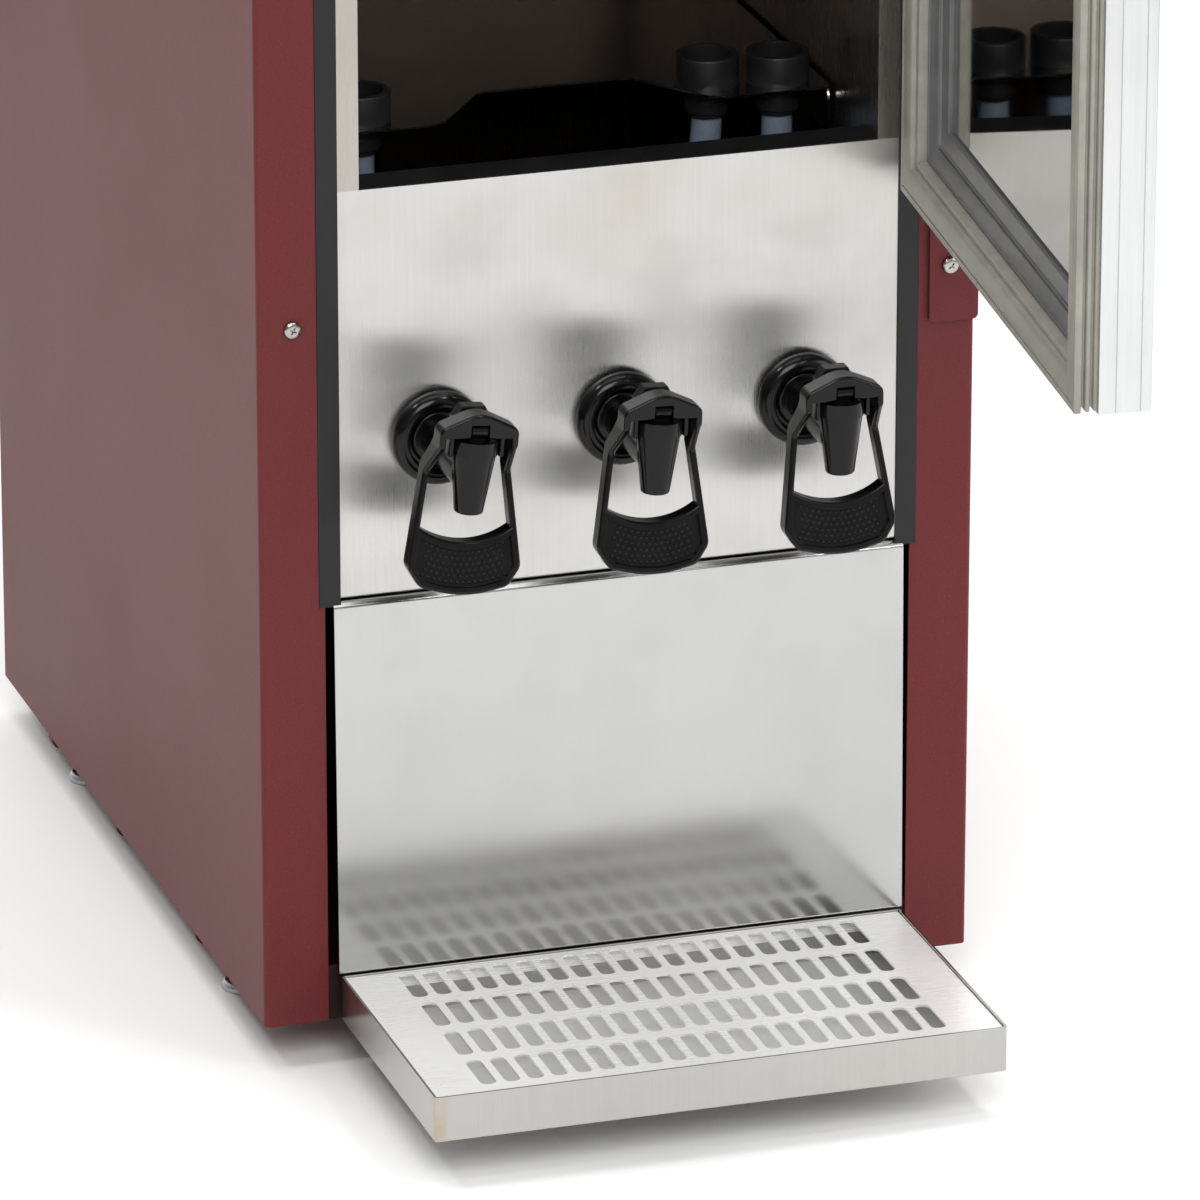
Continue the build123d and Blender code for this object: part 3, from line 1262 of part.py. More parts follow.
# Rear controls: mains inlet with a rocker switch, thermostat with its knob
body_half = inlet_hole[0] / 2 - inlet_clearance
body_rise = inlet_hole[1] / 2 - inlet_clearance
window_half = rocker_width / 2 + rocker_clearance
window_rise = rocker_height / 2 + rocker_clearance
socket_z = inlet_z - inlet_height / 4
window_z = inlet_z + inlet_height / 4
outside = cabinet_depth + inlet_flange
with BuildPart() as inlet_module:
    slab(control_x - inlet_width / 2, control_x + inlet_width / 2, cabinet_depth,
         cabinet_depth + inlet_flange, inlet_z - inlet_height / 2, inlet_z + inlet_height / 2)
    fillet(inlet_module.edges().filter_by(Axis.Y), inlet_corner)
    slab(control_x - body_half, control_x + body_half, cabinet_depth - inlet_body_depth, cabinet_depth,
         inlet_z - body_rise, inlet_z + body_rise)
    slab(control_x - socket_width / 2, control_x + socket_width / 2, outside - socket_recess,
         outside + overcut, socket_z - socket_height / 2, socket_z + socket_height / 2, Mode.SUBTRACT)
    slab(control_x - window_half, control_x + window_half, outside - rocker_depth, outside + overcut,
         window_z - window_rise, window_z + window_rise, Mode.SUBTRACT)
    for dx, dz in ((-blade_spread, blade_rise), (blade_spread, blade_rise), (0, -blade_rise)):
        slab(control_x + dx - blade_width / 2, control_x + dx + blade_width / 2,
             outside - socket_recess, outside - blade_recess, socket_z + dz - blade_height / 2,
             socket_z + dz + blade_height / 2)
save(inlet_module.part, "inlet_module")

rocker_pivot_y = outside - rocker_sink
rocker_half = rocker_height / 2 - rocker_end
with BuildPart() as power_rocker:
    with BuildSketch(Plane((control_x, rocker_pivot_y, window_z), x_dir=(0, 1, 0), z_dir=(1, 0, 0))):
        with BuildLine():
            Polyline((-rocker_sink, 0), (0, rocker_half), (rocker_sink + rocker_crest, rocker_half),
                     (rocker_sink + rocker_valley, 0), (rocker_sink + rocker_crest, -rocker_half),
                     (0, -rocker_half), close=True)
        make_face()
    extrude(amount=rocker_width / 2, both=True)
    fillet(power_rocker.edges().filter_by(Axis.X), rocker_valley)
rocker = power_rocker.part.rotate(Axis((control_x, rocker_pivot_y, window_z), (1, 0, 0)), rocker_tilt)
save(rocker, "power_rocker")

shaft_hole = knob_shaft_diameter + 2 * running_clearance
knob_seat = cabinet_depth + knob_seat_gap
knob_face = knob_seat + knob_height
with BuildPart() as thermostat:
    with Locations((control_x, shell_rear - thermostat_size[1] / 2, knob_z)):
        Box(*thermostat_size)
    fillet(thermostat.edges().filter_by(Axis.Y), thermostat_corner)
    rod_y(control_x, knob_z, shell_rear - knob_shaft_depth - overcut, cabinet_depth, shaft_hole,
          Mode.SUBTRACT)
save(thermostat.part, "thermostat")

with BuildPart() as thermostat_knob:
    rod_y(control_x, knob_z, shell_rear - knob_shaft_depth, knob_seat, knob_shaft_diameter)
    rod_y(control_x, knob_z, knob_seat, knob_face, knob_diameter)
    chamfer(thermostat_knob.edges().filter_by(GeomType.CIRCLE).sort_by(Axis.Y)[-1], knob_edge)
    with Locations(Plane((control_x, knob_seat, knob_z), x_dir=(1, 0, 0), z_dir=(0, 1, 0))):
        with PolarLocations(knob_diameter / 2 + grip_stand_off, knob_grips):
            Cylinder(grip_diameter / 2, 3 * knob_height, mode=Mode.SUBTRACT)
    slab(control_x - mark_width / 2, control_x + mark_width / 2, knob_face - mark_depth,
         knob_face + overcut, knob_z + mark_start, knob_z + knob_diameter / 2, Mode.SUBTRACT)
save(thermostat_knob.part, "thermostat_knob")
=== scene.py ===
"""Looks of the countertop wine dispenser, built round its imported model. Metres, model's frame."""
import json
from math import cos, radians, sin, sqrt, tan, tau

import bmesh
import bpy
from mathutils import Matrix, Vector


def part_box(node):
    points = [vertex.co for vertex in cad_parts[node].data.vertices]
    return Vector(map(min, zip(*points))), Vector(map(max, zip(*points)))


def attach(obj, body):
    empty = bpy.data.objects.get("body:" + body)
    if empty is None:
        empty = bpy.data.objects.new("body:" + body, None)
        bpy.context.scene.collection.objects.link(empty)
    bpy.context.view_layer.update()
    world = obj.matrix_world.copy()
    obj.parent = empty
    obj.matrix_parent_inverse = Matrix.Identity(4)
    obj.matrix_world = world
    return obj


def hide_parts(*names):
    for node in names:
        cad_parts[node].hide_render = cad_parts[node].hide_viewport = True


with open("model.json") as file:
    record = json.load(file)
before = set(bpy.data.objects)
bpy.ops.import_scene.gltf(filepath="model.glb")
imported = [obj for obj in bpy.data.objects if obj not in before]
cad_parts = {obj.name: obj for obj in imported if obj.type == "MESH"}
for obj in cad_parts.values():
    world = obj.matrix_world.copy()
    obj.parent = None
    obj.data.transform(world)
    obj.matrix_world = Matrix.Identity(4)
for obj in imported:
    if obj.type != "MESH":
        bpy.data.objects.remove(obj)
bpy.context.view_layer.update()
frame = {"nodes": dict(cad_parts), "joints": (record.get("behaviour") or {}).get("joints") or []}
nodes = frame["nodes"]
joints = {joint["name"]: joint for joint in frame["joints"]}

mm = 0.001
X, Y, Z = range(3)
TAP_SIDES = ("left", "middle", "right")
panel_low, panel_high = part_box("tap_panel")
# On the counter, under the middle of the front plane
FRONT = Vector(((panel_low.x + panel_high.x) / 2, panel_low.y, 0.0))

# Camera: the photograph's view in a square frame; its place is given from FRONT
VIEW_YAW = -17.6716
VIEW_PITCH = 20.5034
VIEW_ROLL = 0.039
VIEW_PLACE = (-1.47824, -4.60683, 2.04629)
VIEW_LENS = 303.315
SENSOR = 36.0

# Colours, linear
BURGUNDY = (0.112, 0.0165, 0.0180)
BURGUNDY_DUST = (0.118, 0.0205, 0.0220)
# Painted shade: the base pan's front wall, near-black where shadow falls in the gap behind the
# front
PAN_FRONT_SHADE = (0.008, 0.005, 0.005)
TRAY_STAIN = (0.50, 0.43, 0.34)
TRAY_FLOOR = (0.92, 0.92, 0.91)
WELD_BROWN = (0.42, 0.30, 0.17)
CHAMBER_DEPTH = (0.075, 0.060, 0.050)
PALE_FLOOR = (0.93, 0.93, 0.925)

# Noise scales: the features are about 1/scale metres wide
CLOUDS = 9.0
STAINS = 6.0
BLOTCHES = 22.0
PATCHES = 45.0
MOTTLE = 60.0
SPECKS = 900.0
STREAKS = 5200.0
COARSE_STREAKS = 900.0
NOISE_SPAN = (0.3, 0.7)         # most of a noise's values lie between these
STREAK_STRETCH = 0.012          # a streak's scale along the brushing direction
OFF_AXIS = (0.031, 0.043, 0.037)    # keeps a brushing direction off every sheet's normal


def scaled(colour, share):
    """A lighter or darker shade of a colour."""
    return tuple(channel * share for channel in colour)


class Finish:
    """A node material: its shader, and short calls for the nodes that feed it."""

    def __init__(self, name, colour, roughness, metallic=0.0, **sockets):
        self.material = bpy.data.materials.new(name)
        self.material.use_nodes = True
        self.tree = self.material.node_tree
        self.shader = self.tree.nodes["Principled BSDF"]
        self.feed("Base Color", (*colour, 1.0))
        self.feed("Roughness", roughness)
        self.feed("Metallic", metallic)
        for socket, value in sockets.items():
            self.feed(socket.replace("_", " "), value)
        self.place = self.node("ShaderNodeTexCoord").outputs["Object"]

    def node(self, kind, settings=None, **inputs):
        """A new node; an input is named, or i and its number, and takes a value or an output."""
        made = self.tree.nodes.new(kind)
        for key, value in (settings or {}).items():
            setattr(made, key, value)
        for key, value in inputs.items():
            numbered = key[0] == "i" and key[1:].isdigit()
            self.join(made.inputs[int(key[1:]) if numbered else key.replace("_", " ")], value)
        return made

    def join(self, socket, value):
        """Link or set one input."""
        if isinstance(value, bpy.types.NodeSocket):
            self.tree.links.new(value, socket)
        else:
            socket.default_value = value

    def feed(self, name, value):
        """Link or set one input of the shader."""
        self.join(self.shader.inputs[name], value)

    def fed(self, name):
        """The output that feeds one input of the shader."""
        return self.shader.inputs[name].links[0].from_socket

    def noise(self, scale, detail=2.0, stretch=(1.0, 1.0, 1.0), rough=0.5, shift=0.0):
        """Noise, features 1/scale metres wide, drawn out along an axis by a small stretch."""
        mapped = self.node("ShaderNodeMapping", i0=self.place, i3=scaled(stretch, scale),
                           i1=(shift, shift, shift))
        return self.node("ShaderNodeTexNoise", i0=mapped.outputs[0], Scale=1.0, Detail=detail,
                         Roughness=rough).outputs[0]

    def range(self, value, low, high, to_low, to_high):
        """Map a value's range to another, clamped."""
        return self.node("ShaderNodeMapRange", i0=value, i1=low, i2=high, i3=to_low,
                         i4=to_high).outputs[0]

    def spread(self, noise, to_low, to_high):
        """Map the usual span of a noise to a range."""
        return self.range(noise, *NOISE_SPAN, to_low, to_high)

    def math(self, operation, first, second=0.0):
        """One arithmetic node."""
        return self.node("ShaderNodeMath", {"operation": operation}, i0=first,
                         i1=second).outputs[0]

    def blend(self, factor, first, second):
        """Mix of two colours."""
        made = self.node("ShaderNodeMix", {"data_type": "RGBA"}, i0=factor)
        for socket, colour in ((made.inputs[6], first), (made.inputs[7], second)):
            self.join(socket, (*colour, 1.0) if isinstance(colour, tuple) else colour)
        return made.outputs[2]

    def past(self, axis, place):
        """How far the surface point lies past a place on an axis."""
        spot = self.node("ShaderNodeSeparateXYZ", i0=self.place).outputs[axis]
        return self.math("SUBTRACT", spot, place)

    def bump(self, *layers, rounding=0.0):
        """Height layers, each (height, depth in metres), over edges softened by a radius."""
        normal = None
        if rounding:
            normal = self.node("ShaderNodeBevel", {"samples": 4}, Radius=rounding).outputs[0]
        for height, depth in layers:
            made = self.node("ShaderNodeBump", Height=height, Distance=depth, Strength=1.0)
            if normal is not None:
                self.join(made.inputs["Normal"], normal)
            normal = made.outputs[0]
        self.feed("Normal", normal)

    def brush(self, direction):
        """Tangent at right angles to the normal and to the brushing direction."""
        normal = self.node("ShaderNodeNewGeometry").outputs["Normal"]
        tangent = self.node("ShaderNodeVectorMath", {"operation": "CROSS_PRODUCT"}, i0=normal,
                            i1=direction).outputs[0]
        self.feed("Tangent", tangent)


def powder_coat(name, colour, dust, front_wall_shade=None):
    """Fine-textured powder coat with a broad soft gloss; a front wall can take painted shade."""
    finish = Finish(name, colour, 0.45, Specular_IOR_Level=0.19)
    cloud = finish.noise(CLOUDS, 3.0)
    speck = finish.noise(SPECKS, 1.0)
    tone = finish.blend(finish.range(cloud, 0.35, 0.68, 0.0, 0.5), colour, dust)
    coat = finish.blend(finish.range(speck, 0.55, 0.75, 0.0, 0.45), tone, scaled(dust, 1.5))
    if front_wall_shade:
        # painted shade: the front wall turns near-black, standing in for the shadow in the gap
        # behind the shell's front
        shade_mask = finish.range(finish.past(Y, FRONT.y), 0.002, 0.006, 0.92, 0.0)
        coat = finish.blend(shade_mask, coat, front_wall_shade)
    finish.feed("Base Color", coat)
    finish.feed("Roughness", finish.spread(cloud, 0.43, 0.46))
    finish.bump((finish.noise(1500.0, 2.0), 0.00004), (finish.noise(420.0, 2.0), 0.00004),
                rounding=0.0006)
    return finish.material


def brushed(name, colour, roughness, along, anisotropy=0.7, streak_depth=0.000003, stain=None,
            stain_strength=0.0, tint_depth=0.05, satin=1.0, patches=0.3):
    """Brushed stainless sheet: fine streaks along one axis, cloudy roughness, faint stains.

    Satin is the metallic share: a matt, scratched sheet scatters some light like a pale paint.
    """
    finish = Finish(name, colour, roughness, satin, Anisotropic=anisotropy)
    stretch = tuple(STREAK_STRETCH if axis == along else 1.0 for axis in (X, Y, Z))
    direction = tuple(1.0 if axis == along else OFF_AXIS[axis] for axis in (X, Y, Z))
    fine = finish.noise(STREAKS, 3.0, stretch, 0.7)
    coarse = finish.noise(COARSE_STREAKS, 2.0, stretch, 0.6, shift=3.7)
    cloud = finish.noise(CLOUDS, 4.0, shift=1.3)
    worn = finish.math("ADD", finish.range(fine, 0.25, 0.75, -0.03, 0.03),
                       finish.spread(cloud, -0.03, 0.03))
    finish.feed("Roughness", finish.math("ADD", worn, roughness))
    tint = finish.blend(finish.spread(coarse, 0.0, 1.0), colour, scaled(colour, 1 - tint_depth))
    blotch = finish.range(finish.noise(BLOTCHES, 4.0, shift=5.2), 0.45, 0.68, 0.0, patches)
    tint = finish.blend(blotch, tint, scaled(colour, 0.84))
    if stain:
        patch = finish.noise(STAINS, 3.0, shift=8.1)
        tint = finish.blend(finish.range(patch, 0.48, 0.75, 0.0, stain_strength), tint, stain)
    finish.feed("Base Color", tint)
    finish.bump((fine, streak_depth), (coarse, streak_depth * 2))
    finish.brush(direction)
    return finish


def moulded(name, colour, roughness, grain=700.0, depth=0.00003, gloss=0.5, variation=0.06,
            rounding=0.0004):
    """Moulded plastic or rubber: slight mottling and fine surface grain."""
    finish = Finish(name, colour, roughness, Specular_IOR_Level=gloss)
    mottle = finish.noise(MOTTLE, 3.0)
    lighter = tuple(min(1.0, channel * 1.35 + 0.002) for channel in colour)
    tint = finish.blend(finish.range(mottle, 0.35, 0.7, 0.0, 0.7), colour, lighter)
    finish.feed("Base Color", tint)
    smoothest = max(0.04, roughness - variation)
    finish.feed("Roughness", finish.spread(mottle, smoothest, roughness + variation))
    finish.bump((finish.noise(grain, 2.0), depth), rounding=rounding)
    return finish.material


def bright_metal(name, colour, roughness):
    """Plated or cast metal with a fine even texture and dulled patches."""
    finish = Finish(name, colour, roughness, 1.0)
    patch = finish.noise(PATCHES, 3.0)
    tint = finish.blend(finish.range(patch, 0.4, 0.7, 0.0, 0.7), colour, scaled(colour, 0.72))
    finish.feed("Base Color", tint)
    finish.feed("Roughness", finish.spread(patch, roughness * 0.8, roughness * 1.3))
    finish.bump((finish.noise(1500.0, 2.0), 0.000006))
    return finish.material


def tray_steel(name, colour, roughness):
    """Tray steel: brushed, a pale floor, and a browned weld at the front left corner."""
    finish = brushed(name, colour, roughness, Z, 0.3, stain=TRAY_STAIN, stain_strength=0.12)
    tray_low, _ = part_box("drip_tray")
    from_corner = finish.math("ADD", finish.math("ABSOLUTE", finish.past(X, tray_low.x)),
                              finish.math("ABSOLUTE", finish.past(Y, tray_low.y)))
    wander = finish.spread(finish.noise(120.0, 3.0), -0.003, 0.003)
    heat = finish.range(finish.math("ADD", from_corner, wander), 0.001, 0.007, 0.55, 0.0)
    plain = finish.fed("Base Color")
    normal = finish.node("ShaderNodeNewGeometry").outputs["Normal"]
    upward = finish.node("ShaderNodeSeparateXYZ", i0=normal).outputs[Z]
    low_down = finish.range(finish.past(Z, tray_low.z), 0.0015, 0.003, 0.8, 0.0)
    floor = finish.math("MULTIPLY", low_down, finish.range(upward, 0.7, 0.95, 0.0, 1.0))
    tint = finish.blend(floor, plain, TRAY_FLOOR)
    finish.feed("Base Color", finish.blend(heat, tint, WELD_BROWN))
    finish.feed("Metallic", finish.range(floor, 0.0, 0.8, 1.0, 0.5))
    return finish.material


def chamber_steel(name, colour, deep_colour):
    """Chamber steel: bright where daylight reaches the mouth, dark and brown further in."""
    finish = brushed(name, colour, 0.26, Z, 0.5)
    plain = finish.fed("Base Color")
    wander = finish.spread(finish.noise(14.0, 3.0), -0.02, 0.02)
    inward = finish.math("ADD", finish.past(Y, FRONT.y), wander)
    tint = finish.blend(finish.range(inward, 0.02, 0.13, 0.0, 1.0), plain, deep_colour)
    finish.feed("Base Color", tint)
    return finish.material


def coated_glass(name, colour, metallic, roughness):
    """Glass with a reflecting coat and a faint film of dust."""
    finish = Finish(name, colour, roughness, metallic, IOR=1.52)
    film = finish.noise(30.0, 4.0)
    finish.feed("Roughness", finish.range(film, 0.35, 0.8, roughness, roughness + 0.05))
    finish.bump((finish.noise(3.0, 1.0), 0.0002))
    return finish.material


MATERIALS = {
    "burgundy": powder_coat("burgundy", BURGUNDY, BURGUNDY_DUST),
    # the base pan's coat, with painted shade on its front wall
    "pan": powder_coat("pan", BURGUNDY, BURGUNDY_DUST, PAN_FRONT_SHADE),
    "panel": brushed("panel", (0.515, 0.51, 0.498), 0.30, Z, 0.88, stain=(0.43, 0.385, 0.32),
                     stain_strength=0.9, patches=0.7).material,
    "splash": brushed("splash", (0.465, 0.465, 0.461), 0.17, Z, 0.35, 0.000001,
                      stain=(0.50, 0.49, 0.45), stain_strength=0.3, tint_depth=0.02).material,
    "grate": brushed("grate", (0.92, 0.92, 0.91), 0.28, X, 0.3, stain=(0.80, 0.77, 0.70),
                     stain_strength=0.15, satin=0.38).material,
    "tray": tray_steel("tray", (0.47, 0.463, 0.45), 0.24),
    "liner": chamber_steel("liner", (0.40, 0.37, 0.34), CHAMBER_DEPTH),
    "rack": brushed("rack", (0.60, 0.59, 0.575), 0.14, X, 0.3, 0.000002).material,
    "strip": moulded("strip", (0.008, 0.008, 0.009), 0.38, gloss=0.3),
    "tap": moulded("tap", (0.0022, 0.0022, 0.0025), 0.15, 500.0, 0.00002, 0.22, 0.04),
    "pad": moulded("pad", (0.003, 0.003, 0.0033), 0.34, 900.0, 0.00001, 0.22, 0.05, 0.0),
    "valve": moulded("valve", (0.7, 0.7, 0.68), 0.4),
    "foam": moulded("foam", (0.80, 0.72, 0.45), 0.8, 300.0, 0.0006),
    "anodised": brushed("anodised", (0.655, 0.675, 0.67), 0.36, Z, 0.4, 0.000002).material,
    "gasket": moulded("gasket", (0.225, 0.217, 0.188), 0.38, 900.0, 0.00001, variation=0.01,
                      rounding=0.0),
    "liner_frame": moulded("liner_frame", (0.10, 0.10, 0.102), 0.34, 900.0, 0.00001,
                           variation=0.005, rounding=0.0),
    "coated_glass": coated_glass("coated_glass", (0.475, 0.47, 0.455), 1.0, 0.025),
    "dark_glass": coated_glass("dark_glass", (0.012, 0.013, 0.014), 0.0, 0.03),
    "nylon": moulded("nylon", (0.78, 0.78, 0.75), 0.35),
    "zinc": bright_metal("zinc", (0.50, 0.53, 0.55), 0.30),
    "screw": bright_metal("screw", (0.40, 0.385, 0.36), 0.16),
    "connector": moulded("connector", (0.010, 0.010, 0.011), 0.34, gloss=0.3),
    "tube": moulded("tube", (0.16, 0.20, 0.255), 0.30, 900.0, 0.00002),
    "enamel": moulded("enamel", (0.01, 0.01, 0.011), 0.25),
    "rubber": moulded("rubber", (0.02, 0.02, 0.02), 0.6),
    "fins": bright_metal("fins", (0.6, 0.6, 0.6), 0.35),
    "fan": moulded("fan", (0.015, 0.015, 0.016), 0.4),
    "copper": bright_metal("copper", (0.72, 0.36, 0.22), 0.3),
    "control": moulded("control", (0.014, 0.014, 0.015), 0.42),
}

NODE_LOOKS = {
    "burgundy": ["side_shell_left", "side_shell_right", "top_cover", "rear_cover",
                 "hinge_plate_lower", "hinge_plate_upper"],
    "pan": ["base_pan"],
    "panel": ["tap_panel"],
    "splash": ["splash_panel"],
    "grate": ["drip_grate"],
    "tray": ["drip_tray", "tray_bracket"],
    "liner": ["liner", "evaporator"],
    "rack": ["container_rack"],
    "strip": ["edge_strip_left", "edge_strip_right", "header_strip", "sill_strip"],
    "tap": [f"tap_{part}_{side}" for part in ("collar", "body", "lever") for side in TAP_SIDES]
           + ["tap_locknuts"],
    "valve": [f"tap_stem_{side}" for side in TAP_SIDES],
    "foam": ["insulation"],
    "anodised": ["door_frame"],
    "gasket": ["door_gasket"],
    "liner_frame": ["door_liner_frame"],
    "coated_glass": ["door_inner_pane"],
    "dark_glass": ["door_outer_pane"],
    "nylon": ["hinge_bushes"],
    "zinc": [f"foot_{row}_{side}" for row in ("front", "rear") for side in ("left", "right")],
    "screw": ["case_screws"],
    "connector": [f"connector_{side}" for side in TAP_SIDES],
    "tube": [f"tube_{side}" for side in TAP_SIDES],
    "enamel": ["compressor"],
    "rubber": ["compressor_grommets"],
    "fins": ["condenser"],
    "fan": ["fan_frame", "fan_blades"],
    "copper": ["refrigerant_lines"],
    "control": ["inlet_module", "power_rocker", "thermostat", "thermostat_knob"],
}
for look, names in NODE_LOOKS.items():
    for name in names:
        nodes[name].data.materials.clear()
        nodes[name].data.materials.append(MATERIALS[look])


# Meshes and pieces
CREASE = 32.0           # degrees between faces that meet in a sharp edge
RING_CREASE = 40.0
DOME_CREASE = 60.0


def corners(spots):
    """Lowest and highest corner of the box round some points."""
    return (Vector([min(spot[i] for spot in spots) for i in range(3)]),
            Vector([max(spot[i] for spot in spots) for i in range(3)]))


def soften(mesh, degrees=CREASE):
    """Smooth shading, with sharp edges where faces meet at more than an angle."""
    work = bmesh.new()
    work.from_mesh(mesh)
    bmesh.ops.recalc_face_normals(work, faces=work.faces)
    for face in work.faces:
        face.smooth = True
    for edge in work.edges:
        edge.smooth = len(edge.link_faces) == 2 and edge.calc_face_angle(0.0) < radians(degrees)
    work.to_mesh(mesh)
    work.free()


def new_object(name, data):
    """An object in the scene."""
    made = bpy.data.objects.new(name, data)
    bpy.context.scene.collection.objects.link(made)
    return made


def new_mesh(name, verts, faces, degrees=CREASE):
    """A softened mesh."""
    mesh = bpy.data.meshes.new(name)
    mesh.from_pydata([tuple(vert) for vert in verts], [], faces)
    soften(mesh, degrees)
    return mesh


def add_piece(name, verts, faces, look, body, replaced=(), degrees=CREASE):
    """A piece in the model's frame that rides on a body and stands for CAD nodes."""
    mesh = new_mesh(name, verts, faces, degrees)
    mesh.materials.append(MATERIALS[look])
    piece = new_object(name, mesh)
    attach(piece, body)
    for node in replaced:
        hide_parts(node)


# Door: its own frame, x from the hinge's axis across the door and z up, where it stands at rest
door_joint = joints["door_hinge"]
door_turn = radians(180.0 - door_joint["range_deg"][0])
door_pivot = Vector(door_joint["pos_m"])
DOOR = Matrix.Translation((door_pivot.x, door_pivot.y, 0.0)) @ Matrix.Rotation(door_turn, 4, "Z")

# Sections of the door's frames: (inset from the frame's edge, height to the back), mm
GASKET = [(1.0, 0.0), (0.6, 0.5), (0.6, 1.8), (1.0, 2.3), (2.4, 2.6), (2.4, 3.6), (0.9, 4.0),
          (0.4, 4.6), (0.4, 5.8), (0.9, 6.4), (2.4, 6.8), (2.4, 7.9), (0.5, 8.3), (0.0, 8.9),
          (0.0, 11.2), (0.3, 11.9), (1.0, 12.2), (3.6, 12.3), (3.9, 11.6), (4.3, 11.6),
          (4.7, 12.1), (5.6, 12.35), (8.0, 12.4), (11.0, 12.35), (13.6, 12.0), (15.2, 11.2),
          (16.0, 10.0), (16.3, 8.6), (16.9, 8.3), (17.4, 8.7), (19.8, 8.8), (20.7, 8.3),
          (21.1, 7.0), (21.5, 0.0)]
LINER_FRAME = [(0.0, 0.0), (0.0, 3.5), (0.3, 3.9), (0.9, 4.0), (1.3, 3.8), (1.5, 3.2),
               (2.2, 3.0), (8.9, 0.8), (9.2, 0.4), (9.3, -0.5), (10.1, -0.5), (10.2, 0.1),
               (10.5, 0.35), (11.3, 0.35), (11.6, 0.0), (12.0, -0.5), (19.4, -1.7),
               (20.0, -2.0), (20.2, -2.6), (20.2, -4.2), (4.5, -4.2), (4.5, 0.0)]
DOOR_FRAME = [(0.0, 0.0), (0.0, -7.7), (0.15, -7.9), (0.7, -8.0), (0.7, -8.5), (0.15, -8.6),
              (0.0, -8.8), (0.0, -19.9), (0.15, -20.1), (0.7, -20.2), (0.7, -20.7),
              (0.15, -20.8), (0.0, -21.0), (0.0, -24.5), (0.3, -25.6), (0.9, -26.2),
              (2.0, -26.5), (39.2, -26.5), (39.8, -26.3), (40.0, -25.7), (40.0, -24.5),
              (34.0, -24.5), (34.0, -8.2), (30.0, -8.2), (30.0, 0.0)]


def door_box(name):
    """Lowest and highest corner of a CAD node in the door's own frame."""
    back = DOOR.inverted()
    return corners([back @ vertex.co for vertex in nodes[name].data.vertices])


def door_ring(name, section, edge, base, look, replaced):
    """Mitred frame round the door, a section carried round the box of the node it replaces."""
    low, high = edge
    verts, faces = [], []
    for inset, rise in section:
        step, y = inset * mm, base - rise * mm
        left, right, bottom, top = low.x + step, high.x - step, low.z + step, high.z - step
        for x, z in ((left, bottom), (right, bottom), (right, top), (left, top)):
            verts.append(DOOR @ Vector((x, y, z)))
    count = len(section)
    for i in range(count):
        after = (i + 1) % count
        for corner in range(4):
            turn = (corner + 1) % 4
            faces.append((4 * i + corner, 4 * i + turn, 4 * after + turn, 4 * after + corner))
    add_piece(name, verts, faces, look, "door", [replaced], RING_CREASE)


frame_box = door_box("door_frame")
door_back = frame_box[0].y
door_ring("gasket", GASKET, door_box("door_gasket"), door_back, "gasket", "door_gasket")
door_ring("liner_frame", LINER_FRAME, door_box("door_liner_frame"), door_back, "liner_frame",
          "door_liner_frame")
door_ring("door_profile", DOOR_FRAME, frame_box, door_back, "anodised", "door_frame")


# Pan-head screws with cross recesses
HEAD_HEIGHT = 2.6 * mm
SCREW_PROFILE = [(0, -1.5), (1.6, -1.5), (2.0, -1.1), (2.0, 0.0), (4.4, 0.0), (4.5, 0.15),
                 (4.5, 1.0), (4.35, 1.6), (3.9, 2.1), (3.2, 2.4), (2.2, 2.55), (1.0, 2.6),
                 (0, 2.6)]      # radius, height, mm
SCREW_SIDES = 40
RECESS_WIDTH = 0.95 * mm
RECESS_REACH = 5.2 * mm
RECESS_DEPTH = 1.7 * mm
RECESS_FLOOR_WIDTH = 0.7        # share of the width
RECESS_TURN = 20.0
RECESS_CUT_TOP = 4.0 * mm       # the cutter reaches this far above the seat
SCREW_TURN_STEP = 37.0          # from one screw to the next
FRONT_ZONE = 0.25               # screws nearer to the front plane than this look forwards
WELD_DISTANCE = 1e-6


def place_order(box):
    """Sorting key of a box: from the back to the front, then upwards, then to the right."""
    x, y, z = (round(value / mm) for value in box[0])
    return -y, z, x


def islands(name):
    """Boxes of the separate solids of a CAD node, in an order that each run repeats."""
    work = bmesh.new()
    work.from_mesh(nodes[name].data)
    bmesh.ops.remove_doubles(work, verts=work.verts, dist=WELD_DISTANCE)
    left = set(work.verts)
    boxes = []
    while left:
        reached = [left.pop()]
        for vert in reached:
            for edge in vert.link_edges:
                other = edge.other_vert(vert)
                if other in left:
                    left.remove(other)
                    reached.append(other)
        boxes.append(corners([vert.co for vert in reached]))
    work.free()
    return sorted(boxes, key=place_order)


def lathe(profile, sides):
    """Verts and faces of a profile (radius, height) turned round z, from pole to pole."""
    verts = [(0.0, 0.0, profile[0][1])]
    faces = []
    for radius, height in profile[1:-1]:
        verts += [(radius * cos(tau * k / sides), radius * sin(tau * k / sides), height)
                  for k in range(sides)]
    verts.append((0.0, 0.0, profile[-1][1]))
    rings = len(profile) - 2
    last = 1 + (rings - 1) * sides
    for k in range(sides):
        after = (k + 1) % sides
        faces.append((0, 1 + after, 1 + k))
        for lower in range(1, last, sides):
            upper = lower + sides
            faces.append((lower + k, lower + after, upper + after, upper + k))
        faces.append((last + k, last + after, len(verts) - 1))
    return verts, faces


